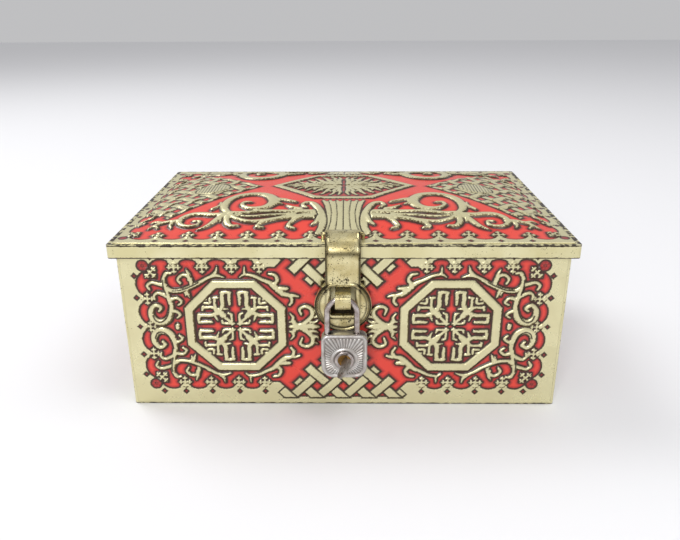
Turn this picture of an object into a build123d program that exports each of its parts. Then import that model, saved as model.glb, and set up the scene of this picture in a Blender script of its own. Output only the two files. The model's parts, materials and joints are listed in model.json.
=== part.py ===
"""Embossed tinplate lock box: wrapped body, domed lid, pressed brass hasp over a staple, small padlock.

Frame: origin at the centre of the underside, +X to the right, +Y to the back, +Z up, millimetres.
The front face looks along -Y. Everything is at rest with the lid shut and the padlock hanging locked.
"""

import os
from math import cos, pi, radians, sin

from build123d import *

# ---------------------------------------------------------------- body of the box
BODY_LENGTH = 195.0  # outside, along X
BODY_DEPTH = 126.0  # outside, along Y
BODY_HEIGHT = 78.8  # underside to the top edge of the walls
SHEET = 0.4  # lacquered tinplate
BODY_CORNER_R = 1.2
WALL_HEM = 4.0  # top edge folded inwards, two sheets thick
FLOOR_FLANGE = 5.0  # upturned edge of the bottom plate
SEAM_WIDTH = 6.0  # folded lock seam inside the back wall
SOLDER_GAP = 0.03  # between the bottom plate's flange and the walls

# ---------------------------------------------------------------- lid
LID_OVERHANG = 2.8  # lid's outside beyond the body's outside
LID_CORNER_R = 1.8
LID_SKIRT = 5.9  # height of the lid's rim
LID_REST_GAP = 0.1  # lid's underside above the walls' top edge
LID_LEDGE = 4.0  # flat border between the lid's edge and its dome
DOME_RISE = 8.3
SKIRT_HEM = 2.6  # bottom edge of the rim folded inwards

# ---------------------------------------------------------------- back hinges
HINGE_SPACING = 116.0  # centre to centre
HINGE_WIDTH = 26.0
HINGE_SHEET = 0.8
HINGE_PIN_R = 0.95
HINGE_RUNNING = 0.05  # radial clearance of the turning knuckle
HINGE_SIDE_GAP = 0.2  # between knuckles
HINGE_CENTRE_WIDTH = 10.0  # the lid leaf's one knuckle
HINGE_DROP = 2.2  # pin centre below the lid rim's lower edge
HINGE_LEAF_HEIGHT = 16.0  # body leaf below the pin
RIVET_R = 1.1  # through the body wall
RIVET_HEAD_R = 1.9
LID_RIVET_R = 0.8  # through the lid's low rim
LID_RIVET_HEAD_R = 1.25
RIVET_HEAD = 0.7
RIVET_SPACING = 15.0
RIVET_SLIP = 0.05  # radial clearance of a rivet in its hole

# ---------------------------------------------------------------- hasp
HASP_WIDTH = 15.0
HASP_SHEET = 0.8
HASP_CLEAR = 2.8  # outer face of the hasp in front of the lid's rim
HASP_BEND_R = 9.4  # outer radius of the strap's bend over the rim
HASP_BEND_DROP = 4.9  # centre of the bend below the lid's flat border
HASP_KNUCKLE_TURN = 8.0  # degrees of bend behind its highest point
HASP_WIRE_R = 0.8
HASP_WIRE_RUNNING = 0.1
HASP_WIRE_BEND = 1.5  # bend radius at the wire's corners
HASP_WIRE_OVERHANG = 1.1  # wire leg centre beyond the strap's side
HASP_CLINCH = 4.0  # wire end bent back under the lid
DISC_R = 12.3
DISC_DROP = 21.7  # disc's centre below the centre of the bend
DISC_RIM = 0.8  # width of the rim that turns back to the wall
DISC_RIM_DEPTH = 3.2
WINDOW_WIDTH = 10.6
WINDOW_HEIGHT = 13.0
WINDOW_LIFT = 2.4  # window's centre above the disc's

# ---------------------------------------------------------------- staple
STAPLE_WIDTH = 6.6
STAPLE_SHEET = 1.0
STAPLE_SINK = 1.9  # underside of the lower leg below the window's centre
STAPLE_HEIGHT = 7.3
STAPLE_AHEAD = 3.9  # front of the loop in front of the shackle's wire
STAPLE_BEND_R = 2.6
STAPLE_SLOT_GAP = 0.05
STAPLE_CLINCH = 4.0
BACKING_WIDTH = 14.0
BACKING_HEIGHT = 20.0
BACKING_SHEET = 0.8

# ---------------------------------------------------------------- padlock
SHACKLE_R = 1.3
SHACKLE_SPREAD = 12.8  # leg centre to leg centre
SHACKLE_X = -0.4
SHACKLE_AHEAD = 2.9  # wire's centre in front of the hasp's face
CROWN_LIFT = 3.1  # centre of the wire at the top of the bend above the staple's lower leg
HEEL_DROP = 5.4  # shackle's pivot below the case's top
TOE_END_DROP = 0.4  # toe's end below the pivot
HEEL_EYE_R = 1.9
HEEL_EYE_THICK = 2.0
HEEL_RIVET_R = 0.7
HEEL_RUNNING = 0.05
NOTCH_DEPTH = 0.75
NOTCH_HEIGHT = 1.6
CASE_X = 0.5
CASE_WIDTH = 19.9
CASE_HEIGHT = 20.8
CASE_DROP = 15.9  # case's top below the crown
CASE_THICK = 5.0
CASE_SHEET = 0.6
CASE_TOP_R = 3.0
CASE_BOTTOM_R = 5.5
CASE_BACK_GAP = 0.03
SLOT_SIDE_GAP = 0.2  # shackle's clearance in the case's slots
TOE_SLOT = 3.9
PLUG_X = 0.55
PLUG_DROP = 12.2  # plug's axis below the case's top
PLUG_R = 2.8
PLUG_RUNNING = 0.06
PLUG_PROUD = 0.3
PLUG_FLANGE_R = 3.6
PLUG_FLANGE = 0.6
PLUG_TAIL_R = 2.0
CAM_REACH = 3.9  # cam finger's end from the plug's axis
CAM_HALF_WIDTH = 0.6
BEZEL_R = 4.2
BEZEL_HIGH = 0.6
LATCH_SHEET = 0.8
LATCH_BAR = 1.2
LATCH_BITE = 0.55  # bolt's overlap with the toe
LATCH_LUG_WIDTH = 1.2
LATCH_LUG_BACK = 0.8  # lug's face to the left of the plug's axis
LATCH_LUG_DROP = 4.8  # lug below the bar
SPRING_STRIP = 0.25
SPRING_LENGTH = 2.4
SPRING_FOLDS = 4

# ---------------------------------------------------------------- key
KEY_ANGLE = 56.0  # keyway from the horizontal, in degrees
KEY_THICK = 1.0
KEY_BLADE = 3.2
KEY_SLOP = 0.1  # key's clearance in the keyway, each side
KEY_DEPTH = 3.2  # blade inside the plug
KEY_NECK = 3.0  # blade in front of the plug
KEY_BOW_R = 4.6
KEY_HOLE_R = 1.6

# ---------------------------------------------------------------- worked out
FRONT = -BODY_DEPTH / 2
BACK = BODY_DEPTH / 2
LID_LENGTH = BODY_LENGTH + 2 * LID_OVERHANG
LID_DEPTH = BODY_DEPTH + 2 * LID_OVERHANG
LID_TOP = BODY_HEIGHT + LID_REST_GAP + SHEET
RIM_LOW = LID_TOP - LID_SKIRT
DOME_HALF_X = LID_LENGTH / 2 - LID_LEDGE - SHEET
DOME_HALF_Y = LID_DEPTH / 2 - LID_LEDGE - SHEET
LID_BACK = LID_DEPTH / 2
KNUCKLE_R = (LID_BACK + HINGE_SHEET - BACK) / 2  # both leaves are tangent to the knuckle
HINGE_Y = BACK + KNUCKLE_R
HINGE_Z = RIM_LOW - HINGE_DROP
HASP_FACE = FRONT - LID_OVERHANG - HASP_CLEAR
HASP_BEND_Z = LID_TOP - HASP_BEND_DROP
BEND_Y = HASP_FACE + HASP_BEND_R
HASP_KNUCKLE_R = HASP_WIRE_R + HASP_WIRE_RUNNING + HASP_SHEET
PIVOT_REACH = HASP_BEND_R - HASP_KNUCKLE_R
PIVOT_Y = BEND_Y + PIVOT_REACH * sin(radians(HASP_KNUCKLE_TURN))
PIVOT_Z = HASP_BEND_Z + PIVOT_REACH * cos(radians(HASP_KNUCKLE_TURN))
DISC_Z = HASP_BEND_Z - DISC_DROP
WINDOW_Z = DISC_Z + WINDOW_LIFT
STAPLE_LOW = WINDOW_Z - STAPLE_SINK
SHACKLE_Y = HASP_FACE - SHACKLE_AHEAD
STAPLE_REACH = FRONT - SHACKLE_Y + STAPLE_AHEAD
CROWN_Z = STAPLE_LOW + STAPLE_SHEET + CROWN_LIFT
CASE_TOP = CROWN_Z - CASE_DROP
HEEL_Z = CASE_TOP - HEEL_DROP
PLUG_Z = CASE_TOP - PLUG_DROP
CASE_FRONT = SHACKLE_Y - CASE_THICK / 2
CASE_BACK = SHACKLE_Y + CASE_THICK / 2
TOE_X = SHACKLE_X - SHACKLE_SPREAD / 2
HEEL_X = SHACKLE_X + SHACKLE_SPREAD / 2
NOTCH_Z = HEEL_Z + 1.0  # middle of the toe's notch


def block(x, y, z):
    """A box from three (low, high) pairs."""
    size = [high - low for low, high in (x, y, z)]
    centre = [(high + low) / 2 for low, high in (x, y, z)]
    return Pos(*centre) * Box(*size)


def rod_along_y(x, z, radius, y):
    """A round bar along Y from a (low, high) pair."""
    return Pos(x, (y[0] + y[1]) / 2, z) * Rot(90, 0, 0) * Cylinder(radius, y[1] - y[0])


def rod_along_x(y, z, radius, x):
    """A round bar along X from a (low, high) pair."""
    return Pos((x[0] + x[1]) / 2, y, z) * Rot(0, 90, 0) * Cylinder(radius, x[1] - x[0])


def rounded_prism(length, depth, radius, z):
    """An upright prism with rounded corners from a (low, high) pair of heights."""
    return Pos(0, 0, z[0]) * extrude(RectangleRounded(length, depth, radius), z[1] - z[0])


def rounded_ring(length, depth, radius, thick, z):
    """A wall that follows a rounded rectangle, with its outside given."""
    outer = rounded_prism(length, depth, radius, z)
    over = (z[0] - 1, z[1] + 1)
    inner = rounded_prism(length - 2 * thick, depth - 2 * thick, max(radius - thick, 0.2), over)
    return outer - inner


def dome_height(x, y):
    """Height of the lid's dome above its flat border: a quartic end to end, an S at front and back."""
    u, v = x / DOME_HALF_X, y / DOME_HALF_Y
    return DOME_RISE * max(0, 1 - u**4) * max(0, 1 - 3 * v**4 + 2 * v**6)


# ---------------------------------------------------------------- box


def staple_leg_heights():
    """The (low, high) heights of the staple's lower and upper legs."""
    top = STAPLE_LOW + STAPLE_HEIGHT
    return (STAPLE_LOW, STAPLE_LOW + STAPLE_SHEET), (top - STAPLE_SHEET, top)


def staple_slots():
    """The two slots that the staple's legs pass through, long enough for wall and backing plate."""
    half = STAPLE_WIDTH / 2 + STAPLE_SLOT_GAP
    reach = (FRONT - 1, FRONT + SHEET + BACKING_SHEET + 0.5)
    gap = STAPLE_SLOT_GAP
    return [block((-half, half), reach, (low - gap, high + gap)) for low, high in staple_leg_heights()]


def body_rivet_places():
    """Centres of the rivets that hold the hinges' body leaves."""
    z = HINGE_Z - HINGE_LEAF_HEIGHT * 0.6
    sides = (-HINGE_SPACING / 2, HINGE_SPACING / 2)
    return [(side + step * RIVET_SPACING / 2, z) for side in sides for step in (-1, 1)]


def lid_rivet_places():
    """Centres of the rivets that hold the hinges' lid leaves."""
    z = RIM_LOW + SKIRT_HEM + (LID_SKIRT - SKIRT_HEM) / 2 - 0.2
    sides = (-HINGE_SPACING / 2, HINGE_SPACING / 2)
    return [(side + step * RIVET_SPACING / 2, z) for side in sides for step in (-1, 1)]


def body_wall():
    """One blank wrapped round, its top edge hemmed and its ends lock-seamed inside the back."""
    wall = rounded_ring(BODY_LENGTH, BODY_DEPTH, BODY_CORNER_R, SHEET, (0, BODY_HEIGHT))
    hem_z = (BODY_HEIGHT - WALL_HEM, BODY_HEIGHT)
    hem = rounded_ring(BODY_LENGTH - SHEET, BODY_DEPTH - SHEET, BODY_CORNER_R, 1.5 * SHEET, hem_z)
    seam_y = (BACK - 3 * SHEET, BACK - SHEET / 2)
    seam = block((-SEAM_WIDTH / 2, SEAM_WIDTH / 2), seam_y, (FLOOR_FLANGE + 3, hem_z[0]))
    wall = wall + hem + seam
    for slot in staple_slots():
        wall -= slot
    for x, z in body_rivet_places():
        wall -= rod_along_y(x, z, RIVET_R + RIVET_SLIP, (BACK - 2, BACK + 1))
    return wall


def bottom_plate():
    """A shallow tray whose upturned flange is soldered inside the walls."""
    inset = 2 * (SHEET + SOLDER_GAP)
    length, depth = BODY_LENGTH - inset, BODY_DEPTH - inset
    plate = rounded_prism(length, depth, BODY_CORNER_R - SHEET, (0, SHEET))
    return plate + rounded_ring(length, depth, BODY_CORNER_R - SHEET, SHEET, (0, FLOOR_FLANGE))


def staple():
    """A brass strip bent to a loop, its legs through the front wall and clinched apart inside."""
    (low, _), (_, high) = staple_leg_heights()
    inside = FRONT + SHEET + BACKING_SHEET
    front = FRONT - STAPLE_REACH
    z_mid = (low + high) / 2
    depth = inside - front
    y_mid = (inside + front) / 2
    outer = Pos(y_mid, z_mid) * Rectangle(depth, high - low)
    outer = fillet(outer.vertices().group_by(Axis.X)[0], STAPLE_BEND_R)
    inner_size = (depth - STAPLE_SHEET + 1, high - low - 2 * STAPLE_SHEET)
    inner = Pos(y_mid + STAPLE_SHEET / 2 + 0.5, z_mid) * Rectangle(*inner_size)
    inner = fillet(inner.vertices().group_by(Axis.X)[0], STAPLE_BEND_R - STAPLE_SHEET)
    strip = Plane.YZ * (outer - inner)
    loop = extrude(strip, STAPLE_WIDTH / 2, both=True)
    half = (-STAPLE_WIDTH / 2, STAPLE_WIDTH / 2)
    tab_y = (inside, inside + STAPLE_SHEET)
    lower = block(half, tab_y, (low - STAPLE_CLINCH, low + STAPLE_SHEET))
    upper = block(half, tab_y, (high - STAPLE_SHEET, high + STAPLE_CLINCH))
    return loop + lower + upper


def staple_plate():
    """The backing plate that spreads the staple's pull inside the front wall."""
    z = STAPLE_LOW + STAPLE_HEIGHT / 2
    plate = block(
        (-BACKING_WIDTH / 2, BACKING_WIDTH / 2),
        (FRONT + SHEET, FRONT + SHEET + BACKING_SHEET),
        (z - BACKING_HEIGHT / 2, min(z + BACKING_HEIGHT / 2, BODY_HEIGHT - WALL_HEM - 0.5)),
    )
    plate = fillet(plate.edges().filter_by(Axis.Y), 2)
    for slot in staple_slots():
        plate -= slot
    return plate


# ---------------------------------------------------------------- hinges


def knuckle(x, bore):
    """A rolled knuckle round the hinge pin."""
    ring = rod_along_x(HINGE_Y, HINGE_Z, KNUCKLE_R, x)
    return ring - rod_along_x(HINGE_Y, HINGE_Z, bore, (x[0] - 1, x[1] + 1))


def hinge_body_leaf(side):
    """A leaf riveted on the back wall, with the two outer knuckles."""
    half, centre = HINGE_WIDTH / 2, HINGE_CENTRE_WIDTH / 2
    top = HINGE_Z
    leaf = block((-half, half), (BACK, BACK + HINGE_SHEET), (HINGE_Z - HINGE_LEAF_HEIGHT, top))
    leaf = fillet(leaf.edges().filter_by(Axis.Y).group_by(Axis.Z)[0], 3)
    notch_half = centre + HINGE_SIDE_GAP
    notch_z = (HINGE_Z - KNUCKLE_R - 2 * HINGE_SIDE_GAP, top + 1)
    leaf -= block((-notch_half, notch_half), (BACK - 1, BACK + 2), notch_z)
    bore = rod_along_x(HINGE_Y, HINGE_Z, HINGE_PIN_R, (-half - 1, half + 1))
    leaf = leaf - bore
    for low, high in ((-half, -notch_half), (notch_half, half)):
        leaf += knuckle((low, high), HINGE_PIN_R)
    leaf = Pos(side * HINGE_SPACING / 2, 0, 0) * leaf
    for x, z in body_rivet_places():
        leaf -= rod_along_y(x, z, RIVET_R + RIVET_SLIP, (BACK - 1, BACK + 2))
    return leaf


def hinge_lid_leaf(side):
    """A leaf riveted on the back of the lid's rim, with the centre knuckle."""
    half, centre = HINGE_WIDTH / 2, HINGE_CENTRE_WIDTH / 2
    y = (LID_BACK, LID_BACK + HINGE_SHEET)
    leaf = block((-half, half), y, (RIM_LOW, LID_TOP - 0.6))
    leaf = fillet(leaf.edges().filter_by(Axis.Y).group_by(Axis.Z)[-1], 1.5)
    neck = block((-centre, centre), y, (HINGE_Z, RIM_LOW))
    neck -= rod_along_x(HINGE_Y, HINGE_Z, HINGE_PIN_R + HINGE_RUNNING, (-half, half))
    leaf = leaf + neck + knuckle((-centre, centre), HINGE_PIN_R + HINGE_RUNNING)
    leaf = Pos(side * HINGE_SPACING / 2, 0, 0) * leaf
    for x, z in lid_rivet_places():
        leaf -= rod_along_y(x, z, LID_RIVET_R + RIVET_SLIP, (LID_BACK - 1, LID_BACK + 2))
    return leaf


def hinge_pin(side):
    """A pin held in the body leaf's knuckles."""
    half = HINGE_WIDTH / 2
    return Pos(side * HINGE_SPACING / 2, 0, 0) * rod_along_x(HINGE_Y, HINGE_Z, HINGE_PIN_R, (-half, half))


def rivet(place, shank_r, head_r, inner, outer):
    """A rivet along Y at an (x, z) place between an inner and an outer face, with a head on each."""
    x, z = place
    shank = rod_along_y(x, z, shank_r, (inner - RIVET_HEAD / 2, outer + RIVET_HEAD / 2))
    head = rod_along_y(x, z, head_r, (outer, outer + RIVET_HEAD))
    head = fillet(head.edges().group_by(Axis.Y)[-1], RIVET_HEAD * 0.6)
    tail = rod_along_y(x, z, head_r, (inner - RIVET_HEAD, inner))
    tail = fillet(tail.edges().group_by(Axis.Y)[0], RIVET_HEAD * 0.6)
    return shank + head + tail


def hinge_body_rivets():
    """The rivets through the back wall."""
    ends = (BACK - SHEET, BACK + HINGE_SHEET)
    return Compound([rivet(place, RIVET_R, RIVET_HEAD_R, *ends) for place in body_rivet_places()])


def hinge_lid_rivets():
    """The rivets through the back of the lid's rim."""
    ends = (LID_BACK - SHEET, LID_BACK + HINGE_SHEET)
    places = lid_rivet_places()
    return Compound([rivet(place, LID_RIVET_R, LID_RIVET_HEAD_R, *ends) for place in places])


# ---------------------------------------------------------------- lid


def dome_patch(lift):
    """The dome's surface, exactly as dome_height gives it, as one patch from its control heights."""
    along_x = (0, 2, 0, 2, 0)  # of 1 - t**4 on -1..1
    along_y = (0, 0, 3.2, -1.6, 3.2, 0, 0)  # of 1 - 3 t**4 + 2 t**6
    rows = []
    for i, a in enumerate(along_x):
        x = (2 * i / (len(along_x) - 1) - 1) * DOME_HALF_X
        row = []
        for j, b in enumerate(along_y):
            y = (2 * j / (len(along_y) - 1) - 1) * DOME_HALF_Y
            row.append((x, y, LID_TOP + lift + DOME_RISE * a * b))
        rows.append(row)
    return Face.make_bezier_surface(rows)


def border_face(z):
    """The flat border round the dome at one height."""
    outer = Pos(0, 0, z) * RectangleRounded(LID_LENGTH, LID_DEPTH, LID_CORNER_R)
    return outer - Pos(0, 0, z) * Rectangle(2 * DOME_HALF_X, 2 * DOME_HALF_Y)


def lid_top():
    """The domed sheet with its flat border, one sheet thick when measured upright."""
    outline = RectangleRounded(LID_LENGTH, LID_DEPTH, LID_CORNER_R)
    edge_band = extrude(Pos(0, 0, LID_TOP - SHEET) * outline, SHEET)
    sides = [face for face in edge_band.faces() if abs(face.normal_at().Z) < 0.5]
    faces = [dome_patch(0), dome_patch(-SHEET), *sides]
    faces += border_face(LID_TOP).faces() + border_face(LID_TOP - SHEET).faces()
    return Solid(Shell(faces))


def lid_shell():
    """One pressing: domed top, rim turned down and hemmed inwards at its lower edge."""
    rim = rounded_ring(LID_LENGTH, LID_DEPTH, LID_CORNER_R, SHEET, (RIM_LOW, LID_TOP - SHEET))
    hem_z = (RIM_LOW, RIM_LOW + SKIRT_HEM)
    hem = rounded_ring(LID_LENGTH - SHEET, LID_DEPTH - SHEET, LID_CORNER_R, 1.5 * SHEET, hem_z)
    lid = lid_top() + (rim + hem)
    for x in hasp_wire_sides():
        hole = Cylinder(HASP_WIRE_R + HASP_WIRE_RUNNING, 8)
        lid -= Pos(x, PIVOT_Y, LID_TOP) * hole
    for x, z in lid_rivet_places():
        lid -= rod_along_y(x, z, LID_RIVET_R + RIVET_SLIP, (LID_BACK - 1.5, LID_BACK + 1))
    return lid


def hasp_wire_sides():
    """X of the hasp wire's two legs."""
    reach = HASP_WIDTH / 2 + HASP_WIRE_OVERHANG
    return -reach, reach


def hasp_wire():
    """The wire that the hasp turns on: a staple through the lid, its ends bent back underneath."""
    left, right = hasp_wire_sides()
    under = LID_TOP - SHEET + dome_height(left, PIVOT_Y) - HASP_WIRE_R - 0.15
    points = [
        (left, PIVOT_Y + HASP_CLINCH, under),
        (left, PIVOT_Y, under),
        (left, PIVOT_Y, PIVOT_Z),
        (right, PIVOT_Y, PIVOT_Z),
        (right, PIVOT_Y, under),
        (right, PIVOT_Y + HASP_CLINCH, under),
    ]
    tight = HASP_WIRE_R * 1.02
    path = FilletPolyline(*points, radius=[HASP_WIRE_BEND, tight, tight, HASP_WIRE_BEND])
    section = Plane(origin=points[0], z_dir=(0, -1, 0)) * Circle(HASP_WIRE_R)
    return sweep(section, path=path)


# ---------------------------------------------------------------- hasp


def hasp():
    """A pressed brass strap: knuckle, bend over the rim, and a dished disc with a window."""
    bend = Pos(BEND_Y, HASP_BEND_Z) * (Circle(HASP_BEND_R) - Circle(HASP_BEND_R - HASP_SHEET))
    reach = 2 * HASP_BEND_R
    turn = radians(HASP_KNUCKLE_TURN)
    wedge = Polygon(
        (BEND_Y, HASP_BEND_Z),
        (BEND_Y + reach * sin(turn), HASP_BEND_Z + reach * cos(turn)),
        (BEND_Y - reach, HASP_BEND_Z + reach),
        (BEND_Y - reach, HASP_BEND_Z),
        align=None,
    )
    knuckle_ring = Pos(PIVOT_Y, PIVOT_Z) * Circle(HASP_KNUCKLE_R)
    bore = Pos(PIVOT_Y, PIVOT_Z) * Circle(HASP_WIRE_R + HASP_WIRE_RUNNING)
    profile = (bend & wedge) + knuckle_ring - bore
    upper = extrude(Plane.YZ * profile, HASP_WIDTH / 2, both=True)
    face_y = (HASP_FACE, HASP_FACE + HASP_SHEET)
    strap = block((-HASP_WIDTH / 2, HASP_WIDTH / 2), face_y, (DISC_Z, HASP_BEND_Z))
    disc = rod_along_y(0, DISC_Z, DISC_R, face_y)
    rim = rod_along_y(0, DISC_Z, DISC_R, (HASP_FACE, HASP_FACE + DISC_RIM_DEPTH))
    rim -= rod_along_y(0, DISC_Z, DISC_R - DISC_RIM, (HASP_FACE - 1, HASP_FACE + DISC_RIM_DEPTH + 1))
    window_z = (WINDOW_Z - WINDOW_HEIGHT / 2, WINDOW_Z + WINDOW_HEIGHT / 2)
    rim -= block((-HASP_WIDTH / 2, HASP_WIDTH / 2), (HASP_FACE + HASP_SHEET, FRONT), (DISC_Z, HASP_BEND_Z))
    plate = strap + disc + rim
    window = block((-WINDOW_WIDTH / 2, WINDOW_WIDTH / 2), (HASP_FACE - 1, FRONT), window_z)
    return upper + plate - window


# ---------------------------------------------------------------- padlock


def leg(x, low, high):
    """An upright stretch of shackle wire."""
    return Pos(x, SHACKLE_Y, (low + high) / 2) * Cylinder(SHACKLE_R, high - low)


def shackle():
    """Round steel wire in a U: the heel ends in a pivot eye, the toe is notched for the latch."""
    spring_z = CROWN_Z - SHACKLE_SPREAD / 2
    ring = Pos(SHACKLE_X, SHACKLE_Y, spring_z) * Rot(90, 0, 0) * Torus(SHACKLE_SPREAD / 2, SHACKLE_R)
    wide = SHACKLE_SPREAD
    above = block(
        (SHACKLE_X - wide, SHACKLE_X + wide),
        (SHACKLE_Y - wide, SHACKLE_Y + wide),
        (spring_z, spring_z + wide),
    )
    toe_end = HEEL_Z - TOE_END_DROP
    bar = (ring & above) + leg(TOE_X, toe_end, spring_z) + leg(HEEL_X, HEEL_Z, spring_z)
    eye_y = (SHACKLE_Y - HEEL_EYE_THICK / 2, SHACKLE_Y + HEEL_EYE_THICK / 2)
    bar += rod_along_y(HEEL_X, HEEL_Z, HEEL_EYE_R, eye_y)
    bar -= rod_along_y(HEEL_X, HEEL_Z, HEEL_RIVET_R + HEEL_RUNNING, (CASE_FRONT, CASE_BACK))
    inner_side = TOE_X + SHACKLE_R
    notch_z = (NOTCH_Z - NOTCH_HEIGHT / 2, NOTCH_Z + NOTCH_HEIGHT / 2)
    return bar - block((inner_side - NOTCH_DEPTH, inner_side + 1), (CASE_FRONT, CASE_BACK), notch_z)


def case_outline(inset):
    """The padlock's outline in X and Z: small corners above, large corners below."""
    width, height = CASE_WIDTH - 2 * inset, CASE_HEIGHT - 2 * inset
    outline = Pos(CASE_X, CASE_TOP - CASE_HEIGHT / 2) * Rectangle(width, height)
    rows = outline.vertices().group_by(Axis.Y)
    outline = fillet(rows[-1], CASE_TOP_R - inset)
    return fillet(outline.vertices().group_by(Axis.Y)[0], CASE_BOTTOM_R - inset)


def case_prism(inset, y):
    """The padlock's outline carried along Y from a (low, high) pair."""
    face = Plane((0, y[1], 0), x_dir=(1, 0, 0), z_dir=(0, -1, 0)) * case_outline(inset)
    return extrude(face, y[1] - y[0])


def padlock_front():
    """A pressed cup: front plate and side band, with slots for the toe and the swinging heel."""
    cup = case_prism(0, (CASE_FRONT, CASE_BACK))
    cup -= case_prism(CASE_SHEET, (CASE_FRONT + CASE_SHEET, CASE_BACK + 1))
    half = SHACKLE_R + SLOT_SIDE_GAP
    slot_y = (SHACKLE_Y - half, SHACKLE_Y + half)
    toe_left = TOE_X - half
    roof = (CASE_TOP - CASE_TOP_R, CASE_TOP + 1)
    cup -= block((toe_left, toe_left + TOE_SLOT), slot_y, roof)
    right = CASE_X + CASE_WIDTH / 2 + 1
    cup -= block((HEEL_X - half, right), slot_y, (HEEL_Z - half, CASE_TOP + 1))
    cup -= rod_along_y(PLUG_X, PLUG_Z, PLUG_R + PLUG_RUNNING, (CASE_FRONT - 1, CASE_FRONT + 1))
    return cup - rod_along_y(HEEL_X, HEEL_Z, HEEL_RIVET_R, (CASE_FRONT + 0.3, CASE_BACK + 1))


def padlock_back():
    """The back plate, set inside the cup's band."""
    plate = case_prism(CASE_SHEET + CASE_BACK_GAP, (CASE_BACK - CASE_SHEET, CASE_BACK))
    return plate - rod_along_y(HEEL_X, HEEL_Z, HEEL_RIVET_R, (CASE_FRONT, CASE_BACK + 1))


def heel_rivet():
    """The rivet that the shackle's heel turns on, peened over the back plate."""
    shank = rod_along_y(HEEL_X, HEEL_Z, HEEL_RIVET_R, (CASE_FRONT + 0.3, CASE_BACK + 0.1))
    return shank + rod_along_y(HEEL_X, HEEL_Z, HEEL_RIVET_R + 0.4, (CASE_BACK, CASE_BACK + 0.25))


def padlock_bezel():
    """The turned ring round the key plug, pressed on the front plate."""
    y = (CASE_FRONT - BEZEL_HIGH, CASE_FRONT)
    ring = rod_along_y(PLUG_X, PLUG_Z, BEZEL_R, y)
    ring = fillet(ring.edges().group_by(Axis.Y)[0], BEZEL_HIGH * 0.6)
    return ring - rod_along_y(PLUG_X, PLUG_Z, PLUG_R + 2 * PLUG_RUNNING, (y[0] - 1, y[1] + 1))


def key_turned(shape):
    """A shape drawn about the plug's axis with its blade along X, turned to the keyway and put in place."""
    return Pos(PLUG_X, 0, PLUG_Z) * Rot(0, -KEY_ANGLE, 0) * shape


def plug():
    """The brass plug: flanged behind the front plate, with a tail, a cam finger and the keyway."""
    flange_front = CASE_FRONT + CASE_SHEET + 0.05
    flange_back = flange_front + PLUG_FLANGE
    tail_end = CASE_BACK - CASE_SHEET - 0.2
    body = rod_along_y(PLUG_X, PLUG_Z, PLUG_R, (CASE_FRONT - PLUG_PROUD, flange_back))
    body += rod_along_y(PLUG_X, PLUG_Z, PLUG_FLANGE_R, (flange_front, flange_back))
    body += rod_along_y(PLUG_X, PLUG_Z, PLUG_TAIL_R, (flange_back, tail_end))
    cam_y = latch_y()
    tip = CAM_REACH - CAM_HALF_WIDTH
    cam = block(
        (PLUG_X - tip, PLUG_X), cam_y, (PLUG_Z - CAM_HALF_WIDTH, PLUG_Z + CAM_HALF_WIDTH)
    ) + rod_along_y(PLUG_X - tip, PLUG_Z, CAM_HALF_WIDTH, cam_y)
    half, thick = KEY_BLADE / 2 + KEY_SLOP, KEY_THICK / 2 + KEY_SLOP
    end = CASE_FRONT + KEY_DEPTH + KEY_SLOP
    return body + cam - key_turned(block((-half, half), (CASE_FRONT - 2, end), (-thick, thick)))


def latch_y():
    """The layer that the latch and the cam share, as a (low, high) pair."""
    return SHACKLE_Y - LATCH_SHEET / 2, SHACKLE_Y + LATCH_SHEET / 2


def latch():
    """A stamped bolt whose tip bites into the toe's notch, with a lug above the plug for the cam."""
    tip = TOE_X + SHACKLE_R - LATCH_BITE
    lug_left = PLUG_X - LATCH_LUG_BACK
    lug_right = lug_left + LATCH_LUG_WIDTH
    low = NOTCH_Z - LATCH_BAR / 2
    bar = block((tip, lug_right), latch_y(), (low, low + LATCH_BAR))
    return bar + block((lug_left, lug_right), latch_y(), (low - LATCH_LUG_DROP, low + LATCH_BAR / 2))


def latch_spring():
    """A folded strip that pushes the latch towards the toe."""
    start = PLUG_X - LATCH_LUG_BACK + LATCH_LUG_WIDTH
    step = (SPRING_LENGTH - SPRING_STRIP) / SPRING_FOLDS
    half = LATCH_BAR / 2 - SPRING_STRIP / 2
    points = []
    for fold in range(SPRING_FOLDS + 1):
        x = start + SPRING_STRIP / 2 + fold * step
        side = 1 if fold % 2 else -1
        points += [(x, NOTCH_Z - side * half), (x, NOTCH_Z + side * half)]
    strip = trace(Polyline(*points), SPRING_STRIP)
    face = Plane((0, latch_y()[1], 0), x_dir=(1, 0, 0), z_dir=(0, -1, 0)) * strip
    return extrude(face, LATCH_SHEET)


def key():
    """A flat steel key: blade in the plug, short neck and a round bow with a hole."""
    tip = CASE_FRONT + KEY_DEPTH
    neck = CASE_FRONT - PLUG_PROUD - KEY_NECK
    bow_y = neck - KEY_BOW_R * 0.9
    thick = (-KEY_THICK / 2, KEY_THICK / 2)
    blade = block((-KEY_BLADE / 2, KEY_BLADE / 2), (bow_y, tip), thick)
    bow = Pos(0, bow_y, 0) * Cylinder(KEY_BOW_R, KEY_THICK)
    hole = Pos(0, bow_y - KEY_BOW_R * 0.4, 0) * Cylinder(KEY_HOLE_R, 2 * KEY_THICK)
    return key_turned(blade + bow - hole)


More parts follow.
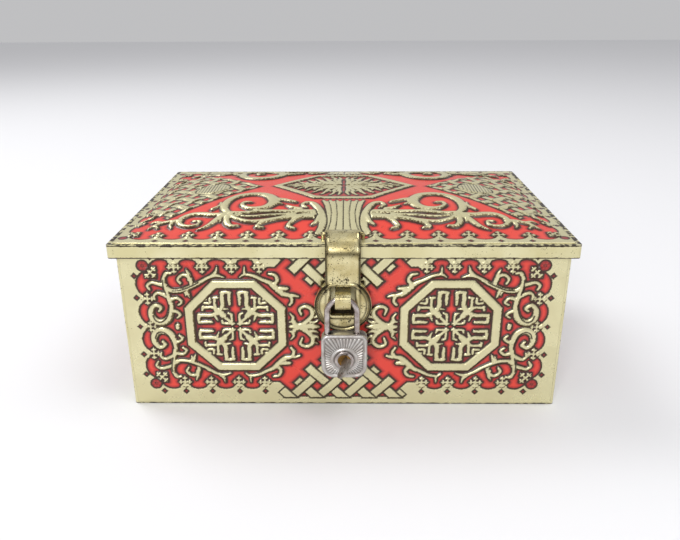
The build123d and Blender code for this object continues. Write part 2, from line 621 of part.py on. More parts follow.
PARTS = {
    "body_wall": body_wall,
    "bottom_plate": bottom_plate,
    "staple": staple,
    "staple_plate": staple_plate,
    "hinge_body_rivets": hinge_body_rivets,
    "lid_shell": lid_shell,
    "hinge_lid_rivets": hinge_lid_rivets,
    "hasp_wire": hasp_wire,
    "hasp": hasp,
    "shackle": shackle,
    "padlock_front": padlock_front,
    "padlock_back": padlock_back,
    "padlock_bezel": padlock_bezel,
    "heel_rivet": heel_rivet,
    "latch_spring": latch_spring,
    "plug": plug,
    "latch": latch,
    "key": key,
}
PAIRS = {
    "hinge_body_leaf": hinge_body_leaf,
    "hinge_lid_leaf": hinge_lid_leaf,
    "hinge_pin": hinge_pin,
}

os.makedirs("parts", exist_ok=True)
for name, make in PARTS.items():
    export_step(make(), f"parts/{name}.step")
for name, make in PAIRS.items():
    export_step(make(-1), f"parts/{name}_left.step")
    export_step(make(1), f"parts/{name}_right.step")
print(f"hasp pivot {PIVOT_Y:.3f} {PIVOT_Z:.3f}, hinge axis {HINGE_Y:.3f} {HINGE_Z:.3f}")
print(f"shackle pivot {CROWN_Z:.3f}, heel {HEEL_X:.3f} {SHACKLE_Y:.3f} {HEEL_Z:.3f}, plug {PLUG_Z:.3f}")
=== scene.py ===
"""Visual model of an embossed tinplate lock box with a brass hasp and a small steel padlock.

The printed and pressed ornament stands on the plain sheet as closed relief panels. Each panel is
a height surface on a grid: how high a point stands follows from its signed distance to the drawn
strokes, and the same distances, kept as attributes, tell the material where the lacquer changes.
"""

import json
import logging
import math
from collections.abc import Callable
from dataclasses import dataclass, field
from enum import Enum

import bpy
import numpy as np
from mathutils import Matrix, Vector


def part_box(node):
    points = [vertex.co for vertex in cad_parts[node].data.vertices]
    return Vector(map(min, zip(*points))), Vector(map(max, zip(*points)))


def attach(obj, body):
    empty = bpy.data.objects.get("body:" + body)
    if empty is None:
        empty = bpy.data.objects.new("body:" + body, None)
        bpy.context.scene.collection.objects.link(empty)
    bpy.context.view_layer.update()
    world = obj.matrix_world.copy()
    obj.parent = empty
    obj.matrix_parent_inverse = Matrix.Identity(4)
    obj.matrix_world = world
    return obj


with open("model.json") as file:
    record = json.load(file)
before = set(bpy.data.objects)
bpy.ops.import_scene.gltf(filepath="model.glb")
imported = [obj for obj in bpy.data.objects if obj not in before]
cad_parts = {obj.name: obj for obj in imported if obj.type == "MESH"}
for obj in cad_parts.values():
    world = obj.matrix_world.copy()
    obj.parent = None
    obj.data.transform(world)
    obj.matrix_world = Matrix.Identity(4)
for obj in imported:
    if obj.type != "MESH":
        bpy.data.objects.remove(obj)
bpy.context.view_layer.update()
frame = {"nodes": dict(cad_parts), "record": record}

Array = np.ndarray
Fields = dict[str, Array]
Points = list[tuple[float, float]]
Socket = bpy.types.NodeSocket
MM = 0.001
FAR = 9.0  # millimetres, further than any pattern looks
ROOT = math.sqrt(2)
log = logging.getLogger("lock_box")


# ---------------------------------------------------------------- meshes


def corner(node: str) -> tuple[Array, Array]:
    """A CAD node's lowest and highest corners at rest.

    Args:
        node: the node's name.

    Returns:
        Two arrays of three, in millimetres.
    """
    low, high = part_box(node)
    return np.array(low) / MM, np.array(high) / MM


def new_piece(name: str, points: Array, faces: list) -> bpy.types.Object:
    """Put points in millimetres and faces into a linked, smooth-shaded object at the origin.

    Args:
        name: the piece's name.
        points: an (n, 3) array in millimetres.
        faces: lists of point numbers, turning outwards.

    Returns:
        The new object.
    """
    mesh = bpy.data.meshes.new(name)
    mesh.from_pydata((points * MM).tolist(), [], faces)
    mesh.polygons.foreach_set("use_smooth", np.full(len(mesh.polygons), True))
    mesh.update()
    piece = bpy.data.objects.new(name, mesh)
    bpy.context.scene.collection.objects.link(piece)
    return piece


def add_attribute(piece: bpy.types.Object, name: str, values: Array) -> None:
    """Keep one number per point on a piece.

    Args:
        piece: the object.
        name: the attribute's name.
        values: one number for each point.
    """
    layer = piece.data.attributes.new(name, "FLOAT", "POINT")
    layer.data.foreach_set("value", np.ascontiguousarray(values, dtype=np.float32).ravel())


def grid_faces(rows: int, columns: int, first: int, flip: bool = False) -> Array:
    """Quads of a grid whose points run along its columns first.

    Face (i, j) joins the points (i, j), (i, j + 1), (i + 1, j + 1) and (i + 1, j).

    Args:
        rows: points down.
        columns: points across.
        first: number of the grid's first point.
        flip: whether to turn the faces over.

    Returns:
        An (n, 4) array of point numbers.
    """
    number = np.arange(rows * columns).reshape(rows, columns) + first
    quads = np.stack([number[:-1, :-1], number[:-1, 1:], number[1:, 1:], number[1:, :-1]], -1).reshape(-1, 4)
    return quads[:, ::-1] if flip else quads


def slab(name: str, top: Array, under: Array, step: int) -> bpy.types.Object:
    """A closed sheet between a fine upper grid and a coarse lower grid with the same outline.

    Each side face joins a run of step + 1 upper edge points to the two lower points beneath it.

    Args:
        name: the piece's name.
        top: an (r, c, 3) array, its rows and columns turning so that quads face outwards.
        under: the array of every step-th row and column, moved inwards.
        step: fine cells to a coarse cell.

    Returns:
        The new object, with the upper grid's points first.
    """
    rows, columns = top.shape[:2]
    low_rows, low_columns = under.shape[:2]
    count = rows * columns
    number = np.arange(count).reshape(rows, columns)
    below = np.arange(low_rows * low_columns).reshape(low_rows, low_columns) + count
    sides = []
    for fine, coarse in (
        (number[0], below[0]),
        (number[:, -1], below[:, -1]),
        (number[-1, ::-1], below[-1, ::-1]),
        (number[::-1, 0], below[::-1, 0]),
    ):
        run = fine[np.arange(len(coarse) - 1)[:, None] * step + np.arange(step + 1)[None, :]]
        sides.append(np.concatenate([run[:, ::-1], coarse[:-1, None], coarse[1:, None]], 1))
    faces = grid_faces(rows, columns, 0).tolist()
    faces += grid_faces(low_rows, low_columns, count, flip=True).tolist()
    faces += np.concatenate(sides).tolist()
    points = np.concatenate([top.reshape(-1, 3), under.reshape(-1, 3)])
    return new_piece(name, points, faces)


def smooth_step(value: Array, low: float, high: float) -> Array:
    """Zero below low, one above high, and 3 t squared minus 2 t cubed between."""
    t = np.clip((value - low) / (high - low), 0, 1)
    return t * t * (3 - 2 * t)


def bell(value: Array, middle: float, width: float) -> Array:
    """One at the middle, falling away as e to the minus square of the distance over the width."""
    return np.exp(-(((value - middle) / width) ** 2))


def spline(points: Points, count: int) -> Array:
    """A smooth path through points, each span a cubic whose ends lean along the neighbours.

    Args:
        points: the places passed through.
        count: samples on each span.

    Returns:
        An (n, 2) array along the path.
    """
    given = np.array(points, float)
    if len(given) < 3:
        return given
    padded = np.concatenate([2 * given[:1] - given[1:2], given, 2 * given[-1:] - given[-2:-1]])
    t = (np.arange(count) / count)[:, None, None]
    a, b, c, d = padded[:-3], padded[1:-2], padded[2:-1], padded[3:]
    path = 0.5 * (2 * b + (c - a) * t + (2 * a - 5 * b + 4 * c - d) * t**2 + (3 * b - a - 3 * c + d) * t**3)
    return np.concatenate([path.transpose(1, 0, 2).reshape(-1, 2), given[-1:]])


def beside(path: Array, x: Array, z: Array, reach: float) -> tuple[Array, Array, Array]:
    """Distances from a grid's points to the spans of a path.

    A span's nearest point is its start plus t times the span, with t held between 0 and 1.

    Args:
        path: an (n, 2) array.
        x: the grid's first coordinate.
        z: the grid's second coordinate.
        reach: how far round the path's box points are looked at.

    Returns:
        A mask of those points, and for each point and span the distance and t.
    """
    near = (x > path[:, 0].min() - reach) & (x < path[:, 0].max() + reach)
    near &= (z > path[:, 1].min() - reach) & (z < path[:, 1].max() + reach)
    place = np.stack([x[near], z[near]], -1)[:, None, :]
    start, span = path[:-1], np.diff(path, axis=0)
    length = np.maximum((span**2).sum(-1), 1e-9)
    t = np.clip(((place - start) * span).sum(-1) / length, 0, 1)
    return near, np.linalg.norm(place - start - t[..., None] * span, axis=-1), t


def weave(even: Array, strap_u: Array, strap_v: Array) -> tuple[Array, Array, Array, Array]:
    """Which of two crossing families of straps is seen.

    Args:
        even: where the first family lies on top.
        strap_u: signed distance inside the first family.
        strap_v: signed distance inside the second.

    Returns:
        The upper and lower straps' signed distances, the distance to the nearest edge that shows,
        and the share that the upper strap covers.
    """
    over, under = np.where(even, strap_u, strap_v), np.where(even, strap_v, strap_u)
    edge = np.where(over > 0, np.abs(over), np.minimum(np.abs(over), np.abs(under)))
    return over, under, edge, smooth_step(over, -0.45, 0.1)


# ---------------------------------------------------------------- the pressed pattern


@dataclass
class Press:
    """A quarter of a pattern: signed distances and heights on a grid, mirrored out at the end.

    gold is positive inside the gold lacquer, ink is the distance to the nearest drawn dark line,
    dim marks the darker crimson, and high is the relief, all in millimetres. Shapes join into a
    group by the larger distance, and a group is then laid into the pattern or over it.
    """

    x: Array
    z: Array
    swell: float = 1.0  # factor on every stroke's width
    outset: float = 0.2  # how far outside the gold its outline runs
    shading: float = 1.0  # strength of the painted shade on the lower slopes, partly standing for printed hatching
    full_half: float = 1.2  # half the width from which a stroke stands at its full height
    shoulder: float = 0.2  # height of a stroke at its edge
    vein_half: float = 0.05  # half the width of a drawn vein
    vein_deep: float = 0.12
    gold: Array = field(init=False)
    ink: Array = field(init=False)
    dim: Array = field(init=False)
    high: Array = field(init=False)
    group: Array = field(init=False)
    group_high: Array = field(init=False)

    def __post_init__(self) -> None:
        """Start with bare red ground."""
        self.gold = np.full(self.x.shape, -FAR)
        self.ink = np.full(self.x.shape, FAR)
        self.dim = np.zeros(self.x.shape)
        self.high = np.zeros(self.x.shape)
        self._open()

    def _open(self) -> None:
        """Start an empty group."""
        self.group = np.full(self.x.shape, -FAR)
        self.group_high = np.zeros(self.x.shape)

    def stroke(
        self,
        points: Points,
        widths: list[float],
        high: float = 0.75,
        fold: float | None = None,
        bulb: float = 0.0,
    ) -> None:
        """Add a raised stroke along a smooth path, round in section.

        The distance is half the width there minus the distance to the path; the height is the
        full height times the quarter circle of how deep the point lies inside the stroke.

        Args:
            points: the path.
            widths: the width at evenly spread places along it.
            high: the relief of a wide stroke.
            fold: x of a four-way mirror's centre, where the path is drawn in its first quarter.
            bulb: radius of a round end, or 0.
        """
        path = spline(points, 6)
        half = np.interp(np.linspace(0, 1, len(path)), np.linspace(0, 1, len(widths)), widths) / 2
        half = half * self.swell
        if bulb:
            path = np.concatenate([path, path[-1:]])
            half = np.append(half, bulb * (1 + self.swell) / 2)
        x, z = (self.x, self.z) if fold is None else (np.abs(self.x - fold), np.abs(self.z))
        near, away, t = beside(path, x, z, half.max() + 3.2)
        width = half[:-1] + (half[1:] - half[:-1]) * t
        best = (width - away).argmax(1)[:, None]
        inside, half = (np.take_along_axis(values, best, 1)[:, 0] for values in (width - away, width))
        share = np.clip(inside / np.maximum(half, 0.05), 0, 1)
        crown = high * np.minimum(1, half / self.full_half) ** 0.6 * np.sqrt(1 - (1 - share) ** 2)
        crown += self.shoulder * smooth_step(inside, -0.45, 0.1)
        self.group[near] = np.maximum(self.group[near], inside)
        self.group_high[near] = np.maximum(self.group_high[near], crown)

    def strokes(self, rows: list[tuple], high: float, fold: float | None = None, shift: float = 0.0) -> None:
        """Add many strokes.

        Args:
            rows: for each the path, the widths and, where it ends in a bulb, the bulb's radius.
            high: the relief of a wide stroke.
            fold: x of a four-way mirror's centre, or None.
            shift: how far they are moved in x.
        """
        for points, widths, *bulb in rows:
            self.stroke([(x + shift, z) for x, z in points], widths, high, fold, *bulb)

    def plate(self, inside: Array, high: float = 0.55, soft: float = 0.8) -> None:
        """Join a flat-topped shape, given its signed distance, with soft shoulders."""
        self.group = np.maximum(self.group, inside)
        self.group_high = np.maximum(self.group_high, high * smooth_step(inside, -0.35, soft))

    def lay(self, over: bool = False) -> None:
        """Put the group into the pattern, hiding what lies below it where it goes over."""
        if over:
            cover = smooth_step(self.group, -0.5, 0.25)
            sunk = np.minimum(self.high, self.high * (1 - 0.55 * smooth_step(self.group, -1.2, 0.0)))
            self.high = sunk * (1 - cover) + self.group_high * cover
            edge = np.abs(self.group + self.outset)
            self.ink = np.where(self.group > 0, edge, np.minimum(self.ink, edge))
        else:
            self.high = np.maximum(self.high, self.group_high)
            self.ink = np.where(self.group > 0, FAR, self.ink)
        self.gold = np.maximum(self.gold, self.group)
        self._open()

    def engrave(self, points: Points) -> None:
        """Draw a thin dark vein along a path and press it in a little."""
        near, away, _ = beside(spline(points, 4), self.x, self.z, 2)
        away = away.min(1)
        self.ink[near] = np.minimum(self.ink[near], np.maximum(away - self.vein_half, 0) + 0.1)
        self.high[near] -= self.vein_deep * (1 - smooth_step(away, 0.1, 0.5))

    def cut(self, inside: Array, dim: float, deep: float = 0.1) -> None:
        """Print a red shape into the gold, given its signed distance.

        Args:
            inside: positive inside the shape.
            dim: how crimson it is, 0 to 1.
            deep: how far it is pressed in.
        """
        self.gold = np.minimum(self.gold, -inside)
        self.dim = np.where(inside > -0.2, dim, self.dim)
        self.high -= deep * smooth_step(inside, -0.4, 0.3)

    def diamond(self, x: float, z: float, deep: float = 0.1) -> None:
        """Print a small crimson square, 2 mm across and standing on its corner."""
        self.cut(1.0 - (np.abs(self.x - x) + np.abs(self.z - z)) / ROOT, 0.9, deep)

    def cross(self, x: float, z: float, turn: float, size: float = 1.0) -> None:
        """A budded cross on a cusp: four short arms with round buds and a square heart.

        Args:
            x: centre.
            z: centre.
            turn: angle of the first arm in degrees.
            size: scale of a cross 6 mm across.
        """
        slim = size / self.swell
        for quarter in range(4):
            angle = math.radians(turn + 90 * quarter)
            ax, az = size * math.cos(angle), size * math.sin(angle)
            bud = (x + 2.0 * ax, z + 2.0 * az)
            self.stroke([(x, z), bud], [1.3 * slim, 0.9 * slim], 0.7)
            for side in (-0.75, 0.75):
                self.stroke([(bud[0] - side * az, bud[1] + side * ax), bud], [1.25 * slim, 1.0 * slim], 0.8)
            self.stroke([bud, (x + 3.0 * ax, z + 3.0 * az)], [1.3 * slim, 0.7 * slim], 0.8)

    def across(self) -> "Press":
        """The lower half: this quarter and its mirror image to the right."""
        both = (np.concatenate([f, s * f[:, -2::-1]], 1) for f, s in ((self.x, -1), (self.z, 1)))
        half = Press(*both, self.swell, self.outset, self.shading)
        for name in ("gold", "ink", "dim", "high"):
            mine = getattr(self, name)
            setattr(half, name, np.concatenate([mine, mine[:, -2::-1]], 1))
        return half

    def whole(self, rows: int, upper: "Press | None" = None) -> Fields:
        """The fields of this half and of a mirrored half above it, cut to a number of rows.

        Args:
            rows: how many rows are kept.
            upper: the half that is mirrored above, or None for this one.

        Returns:
            The fields by attribute name.
        """
        upper = upper or self
        fields = {}
        for name in ("gold", "ink", "dim", "high"):
            fields[name] = np.concatenate([getattr(self, name), getattr(upper, name)[-2::-1]], 0)[:rows]
        fields["line"] = np.minimum(fields.pop("ink"), np.abs(fields["gold"] + self.outset))
        # painted shade on the lower sides of the relief, as if lit from above, partly standing for printed brown
        # hatching
        pitch = float(self.x[0, 1] - self.x[0, 0])
        rise, side = np.gradient(fields["high"], pitch)
        slope = np.hypot(rise, side)
        fields["shade"] = self.shading * np.clip(1.2 * rise - 0.6 * side + 0.35 * slope, 0, 1)
        return fields


def octagon(x: Array, z: Array, apothem: float) -> Array:
    """Signed distance inside an upright octagon: its apothem less the largest of four spans."""
    a, b = np.abs(x), np.abs(z)
    return apothem - np.maximum(np.maximum(a, b), (a + b) / ROOT)


@dataclass
class WallPattern:
    """The walls' pattern: scalloped border, scrolls, octagons, and basket straps on the long faces.

    x runs from a face's middle, and z from the pattern's own centre line.
    """

    pitch: float = 0.4
    middle: float = 40.1  # height of the centre line
    low: float = 0.9
    high: float = 74.6
    lobe_r: float = 6.9  # red lobes along the ends
    lobe_z: float = -32.1  # how low the red lobes reach
    cusp_z: float = -28.4  # how high the gold cusps between them reach
    octagon_x: float = -47.5
    octagon_flat: float = 22.5
    band: float = 4.2
    strap: float = 4.5
    period: float = 12.1
    strap_edge: float = 17.6  # x plus height is minus this along the outermost strap
    first_u: float = -20.75  # x plus height on the first strap's middle line
    first_v: float = -27.65  # x minus height on the first strap of the other slant
    strap_end: float = 36.2  # where a strap that ends on top is cut off
    strap_tuck: float = 34.4  # where one that ends below is
    strap_foot: float = 3.3
    end_shift: float = 34.5  # from a long face's end group to a short face's

    def quarter(self, half: float) -> Press:
        """An empty quarter from the face's edge to its middle, and up to the centre line."""
        columns = int(half / self.pitch) // 4 * 4
        x, z = np.meshgrid(np.arange(-columns, 1) * self.pitch, np.arange(-self.below(), 1) * self.pitch)
        return Press(x, z, 1.22)

    def below(self) -> int:
        """Rows below the centre line."""
        return int((self.middle - self.low) / self.pitch)

    def rows(self) -> int:
        """Rows from the panel's foot to just under the lid's rim, a whole number of coarse cells."""
        return int((self.high - self.low) / self.pitch) // 8 * 8 + 1

    def border(self, press: Press, edge: float, corner_x: float, cusps: list[float], woven: bool) -> None:
        """Gold margin with lobes of red between cusps.

        The red field is a rectangle joined with circles, and the gold is what lies outside it.

        Args:
            press: the quarter.
            edge: x where the lobes end.
            corner_x: x of the corner's cusp.
            cusps: x of the cusps along the foot.
            woven: whether the field's foot drops to the straps beyond the last cusp.
        """
        x, z = press.x, press.z
        field_in = np.minimum(x - (edge + 5.0), z - self.cusp_z)
        for height in (-6.9, -20.2):
            field_in = np.maximum(field_in, self.lobe_r - np.hypot(x - (edge + self.lobe_r), z - height))
        places = [corner_x] + cusps
        for left, right in zip(places[:-1], places[1:]):
            centre, radius = (left + right) / 2, (right - left) / 2 + 0.35
            field_in = np.maximum(field_in, radius - np.hypot(x - centre, z - self.lobe_z - radius))
        if woven:
            foot = z + self.middle
            drop = np.minimum((x + foot + self.strap_edge) / ROOT, foot - 3.9)
            field_in = np.maximum(field_in, drop)
        press.plate(-field_in, 0.35, 0.5)
        for place in cusps:
            press.cross(place, self.cusp_z, 90)
            for side in (-1.9, 1.9):
                press.stroke([(place + side, -31.0), (place, -28.6)], [1.2, 0.7], 0.3)
        for height in (0.2, -13.6):
            press.cross(edge + 4.4, height, 0)
            for side in (-1.9, 1.9):
                press.stroke([(edge + 1.2, height + side), (edge + 3.6, height)], [1.2, 0.7], 0.3)
        press.cross(corner_x + 0.9, -26.0, 45, 1.1)
        press.lay()
        for place in cusps:
            press.diamond(place, -33.3)
        press.diamond(corner_x + 1.3, -33.2)
        for height in (0.2, -14.0, -24.4):
            press.diamond(edge - 0.3, height)
        rose_x, rose_z = x - corner_x + 2.2, z + 29.2
        from_rose = np.hypot(rose_x, rose_z)
        press.cut(2.75 - from_rose, 0.9, 0.05)
        petal = (0.5 + 0.5 * np.cos(6 * np.arctan2(rose_z, rose_x))) * smooth_step(from_rose, 0.7, 1.2)
        press.dim = np.where(from_rose < 2.3, 0.95 - 0.6 * petal, press.dim)
        press.ink = np.minimum(press.ink, np.abs(from_rose - 0.65) + 0.2)

    def scrolls(self, press: Press, shift: float) -> None:
        """The end group: a C-scroll with its stem, small curls and the long branch.

        Args:
            press: the quarter.
            shift: how far the group is moved in x.
        """
        press.strokes([
            ([(-76.0, -25.4), (-77.6, -23.3), (-77.5, -19.8), (-76.6, -15.4), (-75.5, -10.8),
              (-75.9, -7.3), (-77.4, -3.6), (-81.0, -1.9), (-84.1, -3.8), (-84.7, -7.6), (-82.6, -10.4),
              (-80.1, -9.2), (-81.1, -7.6)],
             [1.2, 1.6, 1.8, 1.9, 2.1, 2.4, 2.8, 3.0, 2.8, 2.3, 1.9, 1.6, 1.3], 1.25),
            ([(-77.6, -23.3), (-76.4, -25.6), (-74.4, -25.6)], [1.5, 1.5, 1.2], 1.1),
            ([(-76.9, -14.8), (-80.6, -16.4), (-82.5, -15.1), (-82.3, -13.3)],
             [1.9, 1.6, 1.3, 1.1], 1.05),
            ([(-77.2, -19.8), (-80.0, -20.6), (-83.1, -21.3), (-85.0, -19.8), (-84.2, -17.9)],
             [1.9, 1.7, 1.5, 1.4, 1.1], 1.05),
            ([(-75.6, -7.9), (-73.4, -7.3), (-71.9, -5.8), (-73.4, -4.4)], [1.8, 1.5, 1.3, 1.0], 1.05),
            ([(-75.5, -13.3), (-72.5, -13.9), (-70.7, -12.0), (-72.3, -10.6)],
             [1.8, 1.5, 1.3, 1.1], 1.05),
            ([(-76.9, -18.6), (-74.4, -17.4), (-70.6, -17.6), (-66.9, -18.9), (-62.5, -21.1),
              (-58.8, -23.3), (-55.4, -25.0)], [2.2, 1.9, 1.9, 1.9, 1.7, 1.5, 1.3]),
            ([(-57.5, -24.0), (-54.5, -24.6), (-51.4, -23.7)], [1.4, 1.5, 0.7]),
            ([(-57.0, -24.2), (-54.8, -26.2), (-54.2, -28.5)], [1.4, 1.5, 0.7]),
            ([(-68.2, -18.2), (-67.6, -16.2), (-67.0, -14.4)], [1.7, 1.5, 0.9], 0.9),
            ([(-69.4, -17.8), (-68.6, -15.8), (-68.8, -14.9)], [1.2, 1.0, 0.6]),
            ([(-65.5, -20.0), (-66.3, -23.6), (-69.1, -24.9), (-71.4, -22.9), (-70.6, -20.9)],
             [1.9, 1.7, 1.5, 1.4, 1.2], 1.05),
            ([(-66.4, -22.6), (-66.6, -25.2), (-67.6, -27.4)], [1.8, 1.6, 0.6]),
        ], 0.8, None, shift)

    def fleurs(self, press: Press) -> None:
        """The group beyond the octagon: a forked stem with curls, and the upright acanthus."""
        press.strokes([
            # the forked stem
            ([(-44.6, -23.8), (-42.6, -25.0), (-38.8, -24.5), (-35.0, -22.6), (-31.9, -21.2),
              (-29.6, -19.2), (-27.9, -17.1)], [0.7, 1.3, 1.5, 1.6, 2.0, 2.6, 2.0]),
            ([(-42.4, -25.2), (-42.4, -28.5)], [1.5, 0.6]),
            ([(-28.4, -17.8), (-26.0, -15.9), (-23.2, -15.0), (-22.2, -12.6), (-23.4, -10.6)],
             [2.4, 2.4, 1.7, 1.5, 1.2], 1.15),
            ([(-27.4, -18.4), (-24.4, -18.4)], [2.2, 1.6], 0.9),
            ([(-24.8, -15.4), (-21.6, -15.2), (-19.6, -14.6)], [1.7, 1.5, 1.1], 1.0),
            ([(-30.3, -20.0), (-28.4, -22.3), (-29.4, -24.8), (-31.9, -25.4)], [2.0, 1.6, 1.5, 1.2], 1.1),
            # the acanthus
            ([(-23.4, 0.0), (-19.0, 0.0), (-13.6, 0.0), (-10.6, 0.0)], [1.6, 3.4, 2.6, 0.9]),
            ([(-20.6, -0.8), (-22.2, -2.6), (-22.0, -4.6), (-23.4, -6.4)], [2.0, 1.8, 1.3, 0.7]),
            ([(-21.6, -2.6), (-23.8, -2.4)], [1.5, 0.8]),
            ([(-18.4, -0.6), (-15.6, -2.8), (-13.4, -5.8), (-14.0, -8.6), (-16.6, -9.9), (-19.0, -8.6),
              (-18.3, -5.9)], [2.4, 2.2, 2.0, 1.9, 1.7, 1.5, 1.1], 1.15),
            ([(-13.8, -4.6), (-11.6, -5.0), (-10.8, -6.4)], [1.5, 1.2, 0.6]),
            ([(-13.2, -7.4), (-11.4, -8.6)], [1.4, 0.6]),
            ([(-15.4, -2.4), (-12.6, -2.2), (-11.0, -3.2)], [1.5, 1.3, 0.7]),
        ], 0.8)

    def veins(self, press: Press, shift: float) -> None:
        """Vein lines along the larger strokes.

        Args:
            press: the quarter.
            shift: how far the group is moved in x.
        """
        for line in (
            [(-84.0, -5.6), (-83.2, -3.4), (-81.1, -2.4), (-78.6, -3.9), (-77.0, -7.2), (-76.4, -10.8)],
            [(-77.2, -15.6), (-78.1, -19.6), (-78.0, -22.6)],
            [(-74.2, -17.7), (-70.6, -18.0), (-66.8, -19.4), (-62.7, -21.5)],
        ):
            press.engrave([(x + shift, z) for x, z in line])

    def lantern(self, press: Press, centre: float) -> None:
        """The octagon: a bevelled band round a fretwork drawn in one quarter and mirrored.

        Args:
            press: the quarter.
            centre: its centre's x.
        """
        x, z = press.x - centre, press.z
        outer = octagon(x, z, self.octagon_flat)
        inner = octagon(x, z, self.octagon_flat - self.band)
        press.plate(np.minimum(outer, -inner), 0.85, 0.7)
        press.lay()
        press.strokes([
            ([(1.4, 1.4), (6.3, 6.0)], [1.2, 1.6]),
            ([(1.7, 0.9), (1.7, 4.4), (1.9, 6.0)], [1.1, 1.2, 1.3]),
            ([(1.9, 6.0), (3.2, 6.6)], [1.2, 1.0], 0.6),
            ([(0.9, 1.5), (4.6, 1.5), (5.8, 1.8)], [1.1, 1.2, 1.3]),
            ([(5.8, 1.8), (6.2, 3.0)], [1.2, 1.0], 0.6),
            ([(5.2, 5.2), (7.2, 7.4), (8.6, 8.4)], [2.4, 3.0, 1.8]),
            ([(6.4, 8.0), (5.3, 10.6), (5.4, 13.6), (5.2, 16.0)], [1.9, 2.0, 1.9, 1.8]),
            ([(5.6, 16.5), (3.6, 16.7), (1.9, 16.4)], [1.5, 1.6, 1.5]),
            ([(2.1, 16.2), (2.3, 13.4), (2.2, 10.8)], [1.6, 1.6, 1.2], 0.7),
            ([(5.6, 8.8), (3.0, 8.5)], [1.5, 0.7]),
            ([(8.2, 7.4), (8.8, 10.4), (8.8, 13.0)], [1.6, 1.3, 1.3]),
            ([(9.3, 13.9), (7.6, 14.1)], [1.3, 1.3]),
            ([(8.2, 8.6), (10.4, 9.4), (13.6, 9.3)], [1.6, 1.3, 1.3]),
            ([(14.2, 9.7), (14.4, 8.1)], [1.3, 1.2]),
            ([(8.0, 6.6), (11.0, 5.5), (14.0, 5.6), (16.0, 5.4)], [1.9, 1.8, 1.8, 1.8]),
            ([(16.3, 5.8), (16.4, 3.8), (16.2, 2.0)], [1.5, 1.6, 1.4]),
            ([(16.0, 2.1), (13.2, 2.3), (10.7, 2.2)], [1.5, 1.6, 1.2], 0.7),
            ([(8.9, 5.2), (8.0, 2.9)], [1.5, 0.7]),
            ([(10.9, 13.6), (11.0, 11.5), (13.4, 11.5)], [1.2, 1.3, 1.2]),
            ([(12.4, 13.2), (13.3, 12.9)], [0.9, 0.8]),
        ], 0.6, centre)
        press.lay()
        # crimson ground, but for a bright star, a thin bright cross and the open places
        axis = np.minimum(np.abs(x), np.abs(z))
        reach = np.maximum(np.abs(x), np.abs(z))
        open_red = smooth_step(-press.gold, 0.9, 1.6)
        star = 1 - smooth_step(np.abs(reach - 8.3) + axis * 0.9, 1.4, 3.0)
        thin = (1 - smooth_step(axis, 0.25, 0.6)) * (reach < 15)
        bright = np.clip(star + thin * 0.8 + open_red * 0.3, 0, 1)
        press.dim = np.where(inner > 0.3, np.maximum(press.dim, 1.0 - bright), press.dim)

    def basket(self, press: Press, first: int) -> None:
        """Straps woven at 45 degrees: strap lines stand a period apart and pass over in turn.

        With u = x + height and v = x - height, one family runs along u = constant and the other
        along v = constant; each strap's signed distance is half its width less the distance to
        its line, and where two cross, the one along u lies on top if their numbers add up to even.

        Args:
            press: the lower half, both quarters together.
            first: 0, or 1 to swap which strap lies on top.
        """
        x, height = press.x, press.z + self.middle
        u, v = x + height, x - height
        from_u, from_v = u - self.first_u, v - self.first_v
        number_u, number_v = (np.clip(np.round(a / self.period), 0, 4) for a in (from_u, from_v))
        top_u, top_v = number_u % 2 == first, number_v % 2 != first
        strap_u = self.strap / 2 - np.abs(from_u - number_u * self.period) / ROOT
        strap_v = self.strap / 2 - np.abs(from_v - number_v * self.period) / ROOT
        strap_u = np.minimum(strap_u, (v + np.where(top_u, self.strap_end, self.strap_tuck)) / ROOT)
        strap_v = np.minimum(strap_v, (np.where(top_v, self.strap_end, self.strap_tuck) - u) / ROOT)
        foot = height - self.strap_foot
        strap_u, strap_v = np.minimum(strap_u, foot), np.minimum(strap_v, foot)
        wave_u = np.cos(from_v / self.period * math.pi) * np.where(top_u, 1, -1)
        wave_v = np.cos(from_u / self.period * math.pi) * np.where(top_v, 1, -1)
        crown_u = smooth_step(strap_u, -0.3, 0.7) * (0.55 + 0.22 * wave_u)
        crown_v = smooth_step(strap_v, -0.3, 0.7) * (0.55 + 0.22 * wave_v)
        even = (number_u + number_v) % 2 == first
        over, under, edge, cover = weave(even, strap_u, strap_v)
        woven = np.where(even, crown_v, crown_u) * (1 - cover) + np.where(even, crown_u, crown_v) * cover
        gold = np.maximum(over, under)
        press.ink = np.where(gold > 0, edge, np.minimum(press.ink, np.abs(gold)))
        press.high = np.where(gold > -1.2, np.maximum(woven, np.where(gold > 0, 0, press.high)), press.high)
        press.gold = np.maximum(press.gold, gold)

    def long_face(self, hasp: bool) -> Fields:
        """The pattern of the front, which the back repeats.

        Args:
            hasp: whether this wall is the one behind the hasp, where the tin is plain.

        Returns:
            The fields by attribute name.
        """
        press = self.quarter(96.4)
        self.border(press, -90.1, -84.1, [-72.8, -60.6, -47.9, -36.0], True)
        self.scrolls(press, 0.0)
        self.fleurs(press)
        press.lay()
        self.veins(press, 0.0)
        self.lantern(press, self.octagon_x)
        press.stroke([(-73.6, -0.6), (-73.6, 0.6)], [1.9, 1.9], 0.6)
        press.lay()
        lower, upper = press.across(), press.across()
        self.basket(lower, 0)
        self.basket(upper, 1)
        if hasp:
            upper.plate(np.minimum(np.minimum(8.5 - np.abs(upper.x), upper.z + 21.5), -3.5 - upper.z), 0.2)
            upper.lay(over=True)
            # painted shadow: the plain tin seen through the hasp's window, under the staple, is inked dark
            painted_shadow = (upper.gold > 0) & (np.abs(upper.x) < 7) & (np.abs(upper.z + 7.5) < 3.5)
            upper.ink = np.where(painted_shadow, 0.1, upper.ink)
        return lower.whole(self.rows(), upper)

